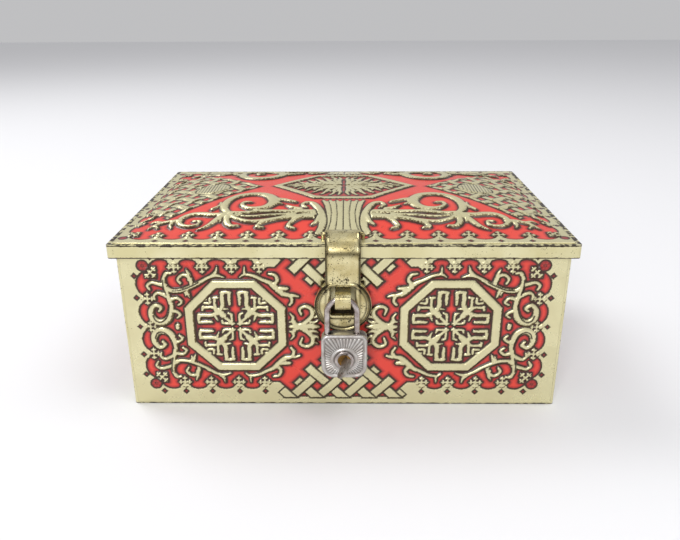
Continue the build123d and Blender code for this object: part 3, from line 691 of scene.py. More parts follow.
    def short_face(self) -> Fields:
        """The pattern of a side: one octagon between two end groups."""
        press = self.quarter(61.6)
        self.border(press, -55.6, -49.6, [-38.0, -25.4, -12.7, 0.0], False)
        self.scrolls(press, self.end_shift)
        press.strokes([
            ([(-37.4, 0.0), (-27.6, 0.0), (-25.0, 0.0)], [3.2, 3.4, 1.0]),
            ([(-34.8, -1.0), (-36.6, -3.0), (-37.0, -5.8)], [2.4, 1.9, 0.7]),
            ([(-32.4, -0.8), (-29.2, -2.8), (-27.1, -5.8), (-28.2, -8.8), (-30.9, -10.0), (-33.1, -8.2),
              (-32.1, -5.8)], [2.8, 2.4, 2.1, 1.9, 1.7, 1.5, 1.2], 1.1),
            ([(-16.5, -24.4), (-8.0, -26.6), (0.0, -26.2)], [0.8, 1.7, 1.9]),
            ([(-8.0, -26.4), (-6.4, -24.6)], [1.5, 0.8]),
        ], 0.8)
        press.lay()
        self.veins(press, self.end_shift)
        self.lantern(press, 0.0)
        return press.across().whole(self.rows())


# ---------------------------------------------------------------- finishes

SMOOTH = {"interpolation_type": "SMOOTHSTEP"}
PLUS, MINUS, TIMES = ({"operation": name} for name in ("ADD", "SUBTRACT", "MULTIPLY"))
LEAST, MOST, SIZE = ({"operation": name} for name in ("MINIMUM", "MAXIMUM", "ABSOLUTE"))


def linear(code: str) -> tuple[float, float, float, float]:
    """An sRGB hex value as linear light with full alpha.

    Args:
        code: six hex digits after a hash.

    Returns:
        Red, green, blue and one.
    """
    parts = [int(code[i : i + 2], 16) / 255 for i in (1, 3, 5)]
    red, green, blue = (c / 12.92 if c <= 0.04045 else ((c + 0.055) / 1.055) ** 2.4 for c in parts)
    return red, green, blue, 1.0


def add_node(
    tree: bpy.types.NodeTree, kind: str, settings: dict | None = None, out: int | str = 0, **inputs: object
) -> Socket:
    """Add a shader node, set its properties and sockets, and link what is another node's output.

    Args:
        tree: the material's tree.
        kind: the node's type name without its prefix.
        settings: its properties.
        out: which of its outputs is wanted.
        **inputs: socket number as i0, i1 and so on, or a socket's name with _ for spaces.

    Returns:
        The output.
    """
    node = tree.nodes.new("ShaderNode" + kind)
    for key, value in (settings or {}).items():
        setattr(node, key, value)
    for key, value in inputs.items():
        numbered = key[0] == "i" and key[1:].isdigit()
        socket = node.inputs[int(key[1:]) if numbered else key.replace("_", " ")]
        if isinstance(value, Socket):
            tree.links.new(value, socket)
        else:
            socket.default_value = value
    return node.outputs[out]


def layered(tree: bpy.types.NodeTree, base: object, layers: list[tuple]) -> Socket:
    """Lay colours over a base, each as far as its mask times its strength goes.

    Args:
        tree: the material's tree.
        base: a colour or a socket.
        layers: mask, strength and colour for each, where a colour is a hex value or a socket.

    Returns:
        The mixed colour.
    """
    for mask, strength, colour in layers:
        share = add_node(tree, "Math", TIMES, i0=mask, i1=strength)
        upper = linear(colour) if isinstance(colour, str) else colour
        base = add_node(tree, "Mix", {"data_type": "RGBA"}, 2, i0=share, i6=base, i7=upper)
    return base


@dataclass(frozen=True)
class Finish:
    """A surface finish: two tones in patches, small pits, fine bump, and painted shade where a piece keeps it."""

    name: str
    slot: str
    colour: str
    second: str
    worn: str  # what shows in pits, and the colour of the painted shade
    metallic: float
    roughness: float
    patch_mm: float  # size of the tones' patches
    speck_mm: float  # size of the pits
    speck_share: float  # 0 none, 1 everywhere
    bump_mm: float  # height of the fine unevenness
    bump_size_mm: float
    stretch: tuple[float, float, float] = (1.0, 1.0, 1.0)

    def pits(self, tree: bpy.types.NodeTree, where: Socket) -> Socket:
        """A mask of small pits that gather in patches: fine noise above a level that drifts."""
        fine = add_node(tree, "TexNoise", Vector=where, Scale=1 / self.speck_mm, Detail=3.0)
        drift = add_node(tree, "TexNoise", Vector=where, Scale=0.12 / self.speck_mm, Detail=2.0)
        both = add_node(tree, "Math", {"operation": "MULTIPLY_ADD"}, i0=drift, i1=0.55, i2=fine)
        level = 1.16 - 0.42 * self.speck_share
        return add_node(tree, "MapRange", SMOOTH, Value=both, From_Min=level, From_Max=level + 0.05)

    def build(self) -> bpy.types.Material:
        """Make the material.

        Returns:
            A new material.
        """
        material = bpy.data.materials.new(self.name)
        material.use_nodes = True
        tree = material.node_tree
        shader = tree.nodes["Principled BSDF"]
        place = add_node(tree, "TexCoord", out="Object")
        where = add_node(tree, "Mapping", Vector=place, Scale=tuple(1000 * s for s in self.stretch))
        patches = add_node(tree, "TexNoise", Vector=where, Scale=1 / self.patch_mm, Detail=4.0)
        tone = add_node(tree, "MapRange", Value=patches, From_Min=0.35, From_Max=0.65)
        # painted shade that a piece keeps as an attribute, laid in the worn colour
        painted_shade = add_node(tree, "Attribute", {"attribute_name": "painted_shade"}, "Fac")
        colour = layered(tree, linear(self.colour), [
            (tone, 1.0, self.second), (self.pits(tree, where), 1.0, self.worn), (painted_shade, 1.0, self.worn),
        ])
        rough = add_node(tree, "MapRange", Value=patches, From_Min=0.3, From_Max=0.7,
                         To_Min=self.roughness * 0.8, To_Max=min(1, self.roughness * 1.25))
        uneven = add_node(tree, "TexNoise", Vector=where, Scale=1 / self.bump_size_mm, Detail=4.0)
        bump = add_node(tree, "Bump", Strength=1.0, Distance=self.bump_mm * MM, Height=uneven)
        tree.links.new(colour, shader.inputs["Base Color"])
        tree.links.new(rough, shader.inputs["Roughness"])
        tree.links.new(bump, shader.inputs["Normal"])
        shader.inputs["Metallic"].default_value = self.metallic
        return material


# Gold-lacquered tinplate: a satin pale khaki gold with rust-brown specks where the lacquer is pitted.
GOLD_TIN = Finish("gold_lacquered_tinplate", "plain_tinplate", "#dad3a8", "#cfc696", "#4b3a20", 0.42, 0.34,
                  14, 0.55, 0.36, 0.01, 1.2)
# The hasp's pressed brass: brighter and yellower, heavily pitted, with dull olive smears.
PRESSED_BRASS = Finish("pressed_brass", "pressed_brass", "#ded3a4", "#bfb07c", "#2a2212", 0.85, 0.27,
                       5, 0.5, 0.66, 0.03, 2.2)
# Turned brass plug: brown from handling.
TURNED_BRASS = Finish("turned_brass", "turned_brass", "#94713c", "#6f5128", "#2c1f10", 0.9, 0.33,
                      1.5, 0.3, 0.3, 0.01, 0.3, (1, 0.2, 1))
# Nickel-plated pressed steel: grey, worn to a warm dull tone in patches.
NICKEL_STEEL = Finish("nickel_plated_steel", "nickelled_steel", "#cfccc8", "#b5aea8", "#4d443b", 0.85, 0.36,
                      3.5, 0.35, 0.28, 0.012, 0.5)
# Bright-plated wire: mirror-like warm grey, dulled to brown where hands don't reach.
BRIGHT_STEEL = Finish("bright_plated_steel", "bright_steel", "#c4bcb8", "#978a84", "#3a2c28", 0.95, 0.22,
                      2.5, 0.3, 0.25, 0.008, 0.8)
# Plain drawn and cut steel for the key, pins and latch: a duller grey with brown pits.
PLAIN_STEEL = Finish("plain_steel", "steel", "#a09a92", "#857d74", "#463a2d", 0.9, 0.35,
                     2.5, 0.3, 0.3, 0.01, 0.6)


@dataclass(frozen=True)
class EdgeWear:
    """Dark, broken lines worn along a box's outer edges: its upright corners and some heights."""

    half_x_mm: float
    half_y_mm: float
    heights_mm: tuple[float, ...]
    reach_mm: float
    share: float  # 0 none, 1 unbroken
    inward_mm: float = 1.6  # how far inside the outer faces a height still wears

    def add_to(self, material: bpy.types.Material) -> None:
        """Darken a finish where noise rises above the distance to an edge.

        Args:
            material: a material that Finish built.
        """
        tree = material.node_tree
        place = add_node(tree, "TexCoord", out="Object")
        axes = add_node(tree, "SeparateXYZ", i0=place).node.outputs
        noise = add_node(tree, "TexNoise", Vector=place, Scale=450.0, Detail=4.0)
        out_x, out_y = (add_node(tree, "Math", SIZE, i0=axis) for axis in axes[:2])
        from_x = add_node(tree, "Math", MINUS, i0=self.half_x_mm * MM, i1=out_x)
        from_y = add_node(tree, "Math", MINUS, i0=self.half_y_mm * MM, i1=out_y)
        away = add_node(tree, "Math", MOST, i0=from_x, i1=from_y)
        nearest = add_node(tree, "Math", LEAST, i0=from_x, i1=from_y)
        inward = add_node(tree, "Math", MINUS, i0=nearest, i1=self.inward_mm * MM)
        for height in self.heights_mm:
            above = add_node(tree, "Math", MINUS, i0=axes[2], i1=height * MM)
            level = add_node(tree, "Math", SIZE, i0=above)
            level = add_node(tree, "Math", MOST, i0=level, i1=inward)
            away = add_node(tree, "Math", LEAST, i0=away, i1=level)
        band = add_node(tree, "MapRange", Value=away, From_Min=0.0, From_Max=self.reach_mm * MM,
                        To_Min=0.5 * self.share, To_Max=-0.3)
        broken = add_node(tree, "Math", PLUS, i0=noise, i1=band)
        mask = add_node(tree, "MapRange", SMOOTH, Value=broken, From_Min=0.56, From_Max=0.66)
        colour = tree.nodes["Principled BSDF"].inputs["Base Color"]
        tree.links.new(layered(tree, colour.links[0].from_socket, [(mask, 1.0, "#33261a")]), colour)


@dataclass(frozen=True)
class Litho:
    """Printed tinplate: gold lacquer and coral red on the pressed sheet, with dark brown outlines.

    The attributes gold, line and dim give distances in millimetres, so every printed edge stays
    sharp however coarse the mesh is.
    """

    lacquer: str = "#dad3a8"
    second: str = "#d3cba0"
    # colour of the painted shade on the relief's lower sides
    shade_brown: str = "#5c4b28"
    red: str = "#dd4234"
    crimson: str = "#8a1c20"  # beside every outline
    deep: str = "#741419"  # where the pattern asks for it
    outline: str = "#2c2014"
    bare: str = "#3a2a17"  # specks where the print has gone

    def build(self, name: str) -> bpy.types.Material:
        """Make the material.

        Args:
            name: the material's name.

        Returns:
            A new material.
        """
        material = bpy.data.materials.new(name)
        material.use_nodes = True
        tree = material.node_tree
        shader = tree.nodes["Principled BSDF"]
        place = add_node(tree, "TexCoord", out="Object")
        where = add_node(tree, "Mapping", Vector=place, Scale=(1000, 1000, 1000))
        gold, line, dim, shade = (
            add_node(tree, "Attribute", {"attribute_name": key}, "Fac") for key in ("gold", "line", "dim", "shade")
        )
        # printed edges wander by up to 0.09 mm
        ragged = add_node(tree, "TexNoise", Vector=where, Scale=2.2, Detail=2.0)
        jitter = add_node(tree, "MapRange", SMOOTH, Value=ragged, From_Min=0.3, From_Max=0.7,
                          To_Min=-0.09, To_Max=0.09)
        gold, line = (add_node(tree, "Math", PLUS, i0=value, i1=jitter) for value in (gold, line))
        is_gold = add_node(tree, "MapRange", SMOOTH, Value=gold, From_Min=-0.1, From_Max=0.12)
        is_line = add_node(tree, "MapRange", SMOOTH, Value=line, From_Min=0.56, From_Max=0.22)
        near = add_node(tree, "MapRange", SMOOTH, Value=gold, From_Min=-2.1, From_Max=-0.35)
        ground = layered(tree, linear(self.red), [(near, 0.85, self.crimson), (dim, 0.78, self.deep)])
        # painted shade: the lower sides of the relief are darkened with a broken brown, partly standing for
        # printed hatching
        patches = add_node(tree, "TexNoise", Vector=where, Scale=0.09, Detail=4.0)
        tone = add_node(tree, "MapRange", SMOOTH, Value=patches, From_Min=0.35, From_Max=0.65)
        hatch = add_node(tree, "TexNoise", Vector=where, Scale=1.1, Detail=3.0)
        broken = add_node(tree, "MapRange", SMOOTH, Value=hatch, From_Min=0.3, From_Max=0.7,
                          To_Min=-0.22, To_Max=0.22)
        shaded = add_node(tree, "Math", PLUS, i0=shade, i1=broken)
        shaded = add_node(tree, "MapRange", SMOOTH, Value=shaded, From_Min=0.22, From_Max=0.55)
        lacquer = layered(tree, linear(self.lacquer), [(tone, 1.0, self.second), (shaded, 0.95, self.shade_brown)])
        # specks where the lacquer has gone, most of them on high edges
        fine = add_node(tree, "TexNoise", Vector=where, Scale=1.5, Detail=3.0)
        drift = add_node(tree, "TexNoise", Vector=where, Scale=0.14, Detail=2.0)
        edges = add_node(tree, "MapRange", SMOOTH, Value=line, From_Min=1.0, From_Max=0.2, To_Min=0, To_Max=0.07)
        rubbed = add_node(tree, "Math", PLUS, i0=fine, i1=edges)
        rubbed = add_node(tree, "Math", {"operation": "MULTIPLY_ADD"}, i0=drift, i1=0.5, i2=rubbed)
        worn = add_node(tree, "MapRange", SMOOTH, Value=rubbed, From_Min=0.98, From_Max=1.03)
        printed = layered(tree, ground, [
            (is_gold, 1.0, lacquer), (is_line, 0.93, self.outline), (worn, 0.85, self.bare),
        ])
        metal = add_node(tree, "Math", TIMES, i0=is_gold, i1=0.5)
        rough = add_node(tree, "MapRange", SMOOTH, Value=patches, From_Min=0.3, From_Max=0.7,
                         To_Min=0.25, To_Max=0.34)
        uneven = add_node(tree, "TexNoise", Vector=where, Scale=0.5, Detail=4.0)
        bump = add_node(tree, "Bump", Strength=0.7, Distance=0.03 * MM, Height=uneven)
        for key, value in (("Base Color", printed), ("Metallic", metal), ("Roughness", rough), ("Normal", bump)):
            tree.links.new(value, shader.inputs[key])
        return material


# ---------------------------------------------------------------- the walls


class Panel(Enum):
    """The patterned walls, each with the quarter turns that bring the front round to it."""

    FRONT = 0
    BACK = 2
    LEFT = 3
    RIGHT = 1


@dataclass
class Body:
    """The box's walls: four pressed panels over the plain sheet."""

    lift: float = 0.1  # the ground of the pattern above the sheet
    sink: float = 0.22  # the panel's back below the sheet
    sunk: float = 0.12  # how far the panel is pressed in where the hinge leaves lie
    cell: int = 8
    pattern: WallPattern = field(default_factory=WallPattern)

    def build(self, printed: bpy.types.Material) -> None:
        """Make the four panels.

        Args:
            printed: the printed material.
        """
        low, high = corner("body_wall")
        pattern, side = self.pattern, self.pattern.short_face()
        walls = {
            Panel.FRONT: (-low[1], pattern.long_face(hasp=True)),
            Panel.BACK: (high[1], pattern.long_face(hasp=False)),
            Panel.LEFT: (-low[0], side),
            Panel.RIGHT: (high[0], side),
        }
        for panel, (reach, fields) in walls.items():
            rows, columns = fields["gold"].shape
            across = (np.arange(columns) - columns // 2) * pattern.pitch
            height = pattern.middle + (np.arange(rows) - pattern.below()) * pattern.pitch
            across, height = np.meshgrid(across, height)
            raised = fields["high"] + self.lift
            if panel is Panel.BACK:
                clear = self.clear_of_leaves(across, height)
                raised = raised * clear - self.sunk * (1 - clear)
            self.panel(panel, across, height, reach + raised, reach - self.sink, fields, printed)

    def clear_of_leaves(self, across: Array, height: Array) -> Array:
        """Zero under the two hinge leaves and one away from them, by the distance to their box."""
        low, high = corner("hinge_body_leaf_left")
        middle, half = -(low[0] + high[0]) / 2, (high[0] - low[0]) / 2
        away = np.maximum(np.abs(np.abs(across) - middle) - half, low[2] - height)
        return smooth_step(away, 0.4, 1.8)

    def panel(
        self,
        panel: Panel,
        across: Array,
        height: Array,
        front: Array,
        back: float,
        fields: Fields,
        printed: bpy.types.Material,
    ) -> None:
        """One panel: the wall's plane moved outwards by the relief, closed behind.

        A point stands at (across, minus its distance from the box's middle), turned about the
        upright by the panel's quarter turns.

        Args:
            panel: which wall.
            across: distance along the wall from its middle.
            height: height of each point.
            front: distance of each point from the box's middle.
            back: distance of the panel's underside.
            fields: the pattern.
            printed: the printed material.
        """
        cos, sin = (1, 0, -1, 0)[panel.value], (0, 1, 0, -1)[panel.value]
        top = np.stack([across * cos + front * sin, across * sin - front * cos, height], -1)
        under = np.stack([across * cos + back * sin, across * sin - back * cos, height], -1)
        pick = slice(None, None, self.cell)
        piece = slab(f"wall_print_{panel.name.lower()}", top, under[pick, pick], self.cell)
        for key, values in fields.items():
            add_attribute(piece, key, np.concatenate([values.ravel(), values[pick, pick].ravel()]))
        piece.data.materials.append(printed)
        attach(piece, "box")
        log.info("%s: %d x %d points", piece.name, *across.shape)


# ---------------------------------------------------------------- the lid


@dataclass
class LidPattern:
    """The lid's pattern, one quarter drawn and mirrored both ways."""

    pitch: float = 0.51
    half_x: float = 98.4
    half_y: float = 64.0
    lobe_r: float = 7.1
    hexagon_y: float = 22.3  # half the medallion's width
    hexagon_x: float = 35.6  # half its length
    band: float = 3.4
    weave_x: float = -66.3  # middle of the woven field
    period: float = 11.8
    strap: float = 4.4
    boss_r: float = 8.6
    rib: float = 1.6

    def border(self, press: Press) -> None:
        """Gold margin with lobes of red between cusps, on the front and the end."""
        x, y = press.x, press.z
        field_in = np.minimum(x + 90.5, y + 54.6)
        for place in (-87.1, -73.9, -60.9, -48.0, -34.8, -21.0, -7.0, 7.0):
            field_in = np.maximum(field_in, self.lobe_r - np.hypot(x - place, y + 52.0))
        for place in (-47.1, -33.6, -20.2, -6.7):
            field_in = np.maximum(field_in, self.lobe_r - np.hypot(x + 88.0, y - place))
        press.plate(-field_in, 0.3, 0.5)
        crosses_x = [-80.5, -67.3, -54.5, -41.5, -28.0, -14.0]
        crosses_y = [-40.4, -26.9, -13.5, 0.0]
        for place in crosses_x:
            press.cross(place, -55.2, 90)
        for place in crosses_y:
            press.cross(-92.4, place, 0)
        press.cross(-91.6, -53.4, 45, 1.1)
        press.lay()
        for place in crosses_x + [0.0]:
            press.diamond(place, -61.0, 0.05)
        for place in crosses_y:
            press.diamond(-96.6, place, 0.05)
        press.cut(2.1 - np.hypot(x + 95.2, y + 57.2), 1.0, 0.05)

    def medallion(self, press: Press) -> None:
        """The long hexagon: a band round branches that spread from the centre."""
        x, y = np.abs(press.x), np.abs(press.z)
        inside = np.minimum(self.hexagon_y - y, (self.hexagon_x - x) * 0.722 - y * 0.692)
        press.plate(np.minimum(inside, self.band - inside), 0.6, 0.7)
        press.lay()
        press.strokes([
            ([(-1.6, -2.0), (-2.2, -8.0), (-1.6, -13.0), (-2.6, -16.6)], [1.2, 1.6, 1.4, 0.7]),
            ([(-2.0, -5.0), (-4.6, -9.4), (-4.4, -13.4), (-6.6, -16.8)], [1.3, 1.6, 1.4, 0.8]),
            ([(-3.0, -4.0), (-7.4, -8.2), (-8.6, -12.2), (-10.8, -15.8)], [1.4, 1.7, 1.5, 0.8]),
            ([(-5.0, -4.4), (-10.6, -7.0), (-12.6, -10.6), (-14.8, -13.4)], [1.3, 1.6, 1.4, 0.8]),
            ([(-2.0, -1.6), (-9.0, -3.8), (-15.0, -6.0), (-18.4, -10.0)], [1.6, 1.8, 1.6, 0.8]),
            ([(-4.0, -0.8), (-13.0, -1.8), (-19.6, -3.6), (-23.0, -7.0)], [1.3, 1.7, 1.5, 0.8]),
            ([(-13.0, -0.9), (-21.0, -1.2), (-28.4, -1.2)], [1.4, 1.7, 0.7]),
            ([(-2.2, -9.4), (-3.0, -11.6)], [1.3, 1.1], 0.8),
            ([(-7.6, -9.4), (-6.2, -11.6)], [1.3, 1.0], 0.8),
            ([(-10.8, -7.2), (-11.0, -9.8)], [1.3, 1.0], 0.8),
            ([(-14.0, -5.8), (-14.4, -8.4)], [1.3, 1.0], 0.8),
            ([(-18.6, -3.6), (-18.8, -6.0)], [1.3, 1.0], 0.8),
            ([(-22.4, -1.6), (-24.4, -3.6)], [1.3, 1.0], 0.8),
            ([(-6.4, -3.6), (-7.2, -5.8)], [1.2, 0.9], 0.7),
        ], 0.55)
        press.lay()
        press.dim = np.where(inside > self.band + 0.2, 0.55, press.dim)

    def scrolls(self, press: Press) -> None:
        """Spirals, stems and leaves, and the reeded bundle on the middle line."""
        press.strokes([
            # the large spiral
            ([(-51.0, -39.4), (-55.0, -33.0), (-54.4, -24.0), (-50.3, -17.8), (-44.0, -15.4),
              (-37.8, -16.8), (-34.0, -21.5), (-32.6, -27.8), (-36.4, -33.2), (-42.8, -33.8),
              (-47.0, -30.4), (-46.4, -26.9), (-43.4, -27.2)],
             [2.0, 2.8, 3.2, 3.2, 3.2, 3.4, 3.8, 4.0, 3.0, 2.2, 1.7, 1.4, 1.3], 1.6),
            ([(-32.0, -24.0), (-28.4, -24.6), (-24.8, -26.4), (-22.4, -27.6)], [3.0, 2.4, 1.8, 1.6], 1.3),
            ([(-31.4, -28.6), (-28.6, -29.6)], [2.4, 0.9]),
            ([(-26.2, -31.2), (-23.4, -33.6), (-19.4, -35.0)], [0.8, 1.7, 1.8]),
            # stems out of the bundle
            ([(-8.0, -38.0), (-16.0, -37.4), (-26.0, -37.2), (-36.0, -36.8), (-45.0, -38.0),
              (-53.0, -37.6)], [3.2, 2.8, 2.0, 1.7, 1.9, 2.2]),
            ([(-8.0, -41.4), (-18.0, -41.2), (-27.0, -42.6), (-35.0, -44.6), (-42.0, -45.2),
              (-48.0, -42.8), (-51.6, -39.6)], [3.0, 2.8, 2.2, 2.0, 1.8, 1.8, 2.0]),
            ([(-22.0, -39.8), (-32.0, -40.2), (-42.0, -41.2), (-49.0, -39.8)], [1.5, 1.4, 1.4, 1.0]),
            ([(-18.6, -41.4), (-22.4, -44.8), (-24.2, -48.8), (-21.8, -50.6)], [2.0, 1.8, 1.6, 1.4], 1.3),
            ([(-29.6, -43.4), (-35.4, -46.0), (-38.2, -49.0), (-35.6, -49.9)], [1.8, 1.7, 1.5, 1.3], 1.2),
            ([(-52.4, -40.6), (-52.0, -45.6), (-49.6, -48.6), (-46.6, -48.4)], [2.4, 2.2, 1.8, 1.2], 1.1),
            ([(-54.0, -39.0), (-57.4, -44.2), (-60.6, -48.6), (-64.2, -51.0)], [2.6, 2.4, 1.6, 0.6]),
            ([(-55.4, -41.4), (-55.0, -44.8)], [1.8, 0.8]),
            # the small spiral and the outer leaves
            ([(-55.0, -38.8), (-60.0, -38.6), (-64.0, -37.4), (-69.4, -37.2), (-73.4, -40.4),
              (-73.4, -45.0), (-69.8, -47.8), (-65.2, -47.2), (-64.4, -44.0), (-67.2, -43.6)],
             [2.2, 2.4, 2.5, 2.5, 2.3, 2.0, 1.7, 1.4, 1.2, 1.1], 1.3),
            ([(-73.4, -42.6), (-78.0, -42.4), (-83.0, -44.0), (-86.6, -48.2)], [2.2, 2.0, 1.8, 0.9], 1.1),
            ([(-76.4, -43.0), (-77.2, -46.4), (-76.2, -48.8)], [1.8, 1.4, 0.6]),
            ([(-81.4, -43.2), (-84.6, -41.4), (-86.6, -42.0)], [1.7, 1.4, 1.0], 1.0),
            ([(-84.4, -45.6), (-82.4, -48.2)], [1.5, 1.0], 0.9),
            # outside the woven field
            ([(-92.0, -38.0), (-88.4, -35.4), (-87.6, -31.4), (-90.0, -29.0)], [0.9, 1.6, 1.5, 1.1], 1.1),
            ([(-60.6, -33.2), (-57.6, -29.6), (-57.8, -25.4)], [1.6, 1.5, 0.8]),
        ], 0.85)
        press.lay()
        # the bundle: an outer strap with its volute over a flared, reeded sheaf
        x, y = press.x, press.z
        half = np.interp(y, [-54.0, -50.0, -45.0, -38.0, -31.0, -24.6], [10.6, 9.2, 8.0, 7.6, 8.6, 10.2])
        sheaf = np.minimum(half - np.abs(x), np.minimum(y + 55.5, -25.0 - y + 0.9 * np.cos(x * 2.0)))
        press.plate(sheaf, 0.5, 0.6)
        press.lay(over=True)
        for share in (0.0, 0.36, 0.7):
            groove = np.abs(np.abs(x) - share * half)
            press.ink = np.where(sheaf > 0, np.minimum(press.ink, groove + 0.1), press.ink)
            press.high = np.where(sheaf > 0, press.high - 0.3 * (1 - smooth_step(groove, 0.1, 0.9)), press.high)
        press.strokes([
            ([(-10.8, -54.0), (-9.4, -49.0), (-9.2, -43.0), (-10.2, -37.4), (-12.2, -32.4),
              (-14.4, -28.8), (-17.4, -28.2), (-18.9, -30.8), (-17.0, -33.2)],
             [2.2, 2.3, 2.4, 2.5, 2.5, 2.2, 1.8, 1.5, 1.2], 1.4),
            ([(-10.4, -41.0), (-11.6, -45.0), (-13.6, -47.4)], [2.0, 1.8, 1.2], 1.2),
        ], 0.7)
        press.lay(over=True)

    def lattice(self, press: Press) -> None:
        """The woven field at the end: straps along two slants, over and under in turn."""
        x, y = press.x - self.weave_x, press.z
        u, v = x + y, x - y
        out = -press.x
        ends = np.minimum(np.minimum(out - 41.5 - np.abs(y), 119.0 - out - np.abs(y)) / ROOT, 92.4 - out)
        number_u, number_v = np.round(u / self.period), np.round(v / self.period)
        strap_u = np.minimum(self.strap / 2 - np.abs(u - number_u * self.period) / ROOT, ends)
        strap_v = np.minimum(self.strap / 2 - np.abs(v - number_v * self.period) / ROOT, ends)
        over, under, edge, cover = weave((number_u + number_v) % 2 == 0, strap_u, strap_v)
        bulge = np.cos(u / self.period * math.pi) ** 2 * np.cos(v / self.period * math.pi) ** 2
        high = (0.35 + 0.5 * bulge) * smooth_step(over, -0.3, 1.2) * cover
        high += 0.2 * smooth_step(under, -0.3, 0.9) * (1 - cover)
        gold = np.maximum(over, under)
        inside = (gold > -1.0) & (gold > press.gold - 0.3)
        press.ink = np.where(inside, edge, press.ink)
        press.high = np.where(inside, np.maximum(high, 0), press.high)
        press.gold = np.maximum(press.gold, gold)
        boss = self.boss_r - np.hypot(x, y)
        press.plate(boss, 0.6, 1.2)
        press.lay(over=True)
        ribs = np.abs((x + self.rib / 2) % self.rib - self.rib / 2) + 0.12
        press.ink = np.where(boss > 0.8, np.minimum(press.ink, ribs), press.ink)
        press.dim = np.where(boss > 0.0, 0.6, press.dim)

    def build(self) -> tuple[Array, Array, Fields]:
        """The whole pattern.

        Returns:
            x and y of the points, and the fields.
        """
        columns, rows = (int(half / self.pitch) // 4 * 4 for half in (self.half_x, self.half_y))
        x, y = np.meshgrid(np.arange(-columns, 1) * self.pitch, np.arange(-rows, 1) * self.pitch)
        press = Press(x, y, 1.4, shading=0.55)
        self.border(press)
        self.medallion(press)
        self.scrolls(press)
        self.lattice(press)
        fields = press.across().whole(2 * rows + 1)
        x, y = np.meshgrid(np.arange(-columns, columns + 1) * self.pitch, np.arange(-rows, rows + 1) * self.pitch)
        return x, y, fields


@dataclass
class Lid:
    """The lid's pressed and printed top over the shallow dome of the sheet."""

    top: float = 79.3
    rise: float = 8.3
    half_x: float = 95.9
    half_y: float = 61.4
    lift: float = 0.1
    sink: float = 0.25
    cell: int = 8
    wire_share: float = 0.25  # relief left round the hasp's wire
    hasp_share: float = 0.3  # relief left where the opened hasp comes down

    def dome(self, x: Array, y: Array) -> Array:
        """Height of the sheet: the top plus rise times (1 - u^4) times (1 - 3 v^4 + 2 v^6)."""
        u, v = np.abs(x) / self.half_x, np.abs(y) / self.half_y
        return self.top + self.rise * np.clip(1 - u**4, 0, 1) * np.where(v < 1, 1 - 3 * v**4 + 2 * v**6, 0)

    def relief_share(self, x: Array, y: Array) -> Array:
        """How much of the relief stands, so that the hasp and its wire have room."""
        low, high = corner("hasp_wire")
        from_wire = np.maximum(np.abs(x) - high[0] - 0.6, np.maximum(low[1] - 1.6 - y, y - high[1] - 2.0))
        from_hasp = np.maximum(np.abs(x) - 9.0, np.abs(y + 40.0) - 24.0)
        at_wire = self.wire_share + (1 - self.wire_share) * smooth_step(from_wire, 0.0, 2.0)
        return np.minimum(at_wire, self.hasp_share + (1 - self.hasp_share) * smooth_step(from_hasp, 0.0, 3.0))

    def build(self, printed: bpy.types.Material) -> None:
        """Make the top's panel.

        Args:
            printed: the printed material.
        """
        x, y, fields = LidPattern().build()
        ground, pick = self.dome(x, y), slice(None, None, self.cell)
        top = np.stack([x, y, ground + fields["high"] * self.relief_share(x, y) + self.lift], -1)
        under = np.stack([x, y, ground - self.sink], -1)[pick, pick]
        piece = slab("lid_print", top, under, self.cell)
        for key, values in fields.items():
            add_attribute(piece, key, np.concatenate([values.ravel(), values[pick, pick].ravel()]))
        piece.data.materials.append(printed)
        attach(piece, "lid")
        log.info("%s: %d x %d points", piece.name, *x.shape)


# ---------------------------------------------------------------- hasp and padlock


def closed_ring(name: str, section: Array) -> bpy.types.Object:
    """A closed band from a grid whose rows go round its section and whose columns go round the hole.

    Args:
        name: the piece's name.
        section: an (r, c, 3) array in millimetres, both ways joined end to start.

    Returns:
        The new object.
    """
    number = np.arange(section.shape[0] * section.shape[1]).reshape(section.shape[:2])
    right, down = np.roll(number, -1, 1), np.roll(number, -1, 0)
    faces = np.stack([number, right, np.roll(right, -1, 0), down], -1).reshape(-1, 4)
    return new_piece(name, section.reshape(-1, 3), faces.tolist())


def round_box(across: Array, up: Array, half: tuple[float, float], radius: Array | float) -> Array:
    """Signed distance inside a rectangle with round corners, from its middle.

    It is the corner's radius less the distance to the rectangle drawn in by that radius.

    Args:
        across: distance from the middle one way.
        up: distance from the middle the other way.
        half: half its width and height.
        radius: the corners' radius.

    Returns:
        The distances, positive inside.
    """
    a, b = np.abs(across) - half[0] + radius, np.abs(up) - half[1] + radius
    return radius - np.hypot(np.maximum(a, 0), np.maximum(b, 0)) - np.minimum(np.maximum(a, b), 0)


def reach_of(inside: Callable, centre: tuple[float, float], angle: Array, far: float) -> Array:
    """How far a ray from a centre goes before an outline's signed distance falls to zero.

    Args:
        inside: signed distance as a function of two arrays.
        centre: where the rays start.
        angle: their directions.
        far: a radius outside the outline everywhere.

    Returns:
        One radius for each angle.
    """
    near, out = np.zeros_like(angle), np.full_like(angle, far)
    for _ in range(36):
        middle = (near + out) / 2
        within = inside(centre[0] + middle * np.cos(angle), centre[1] + middle * np.sin(angle)) > 0
        near, out = np.where(within, middle, near), np.where(within, out, middle)
    return near


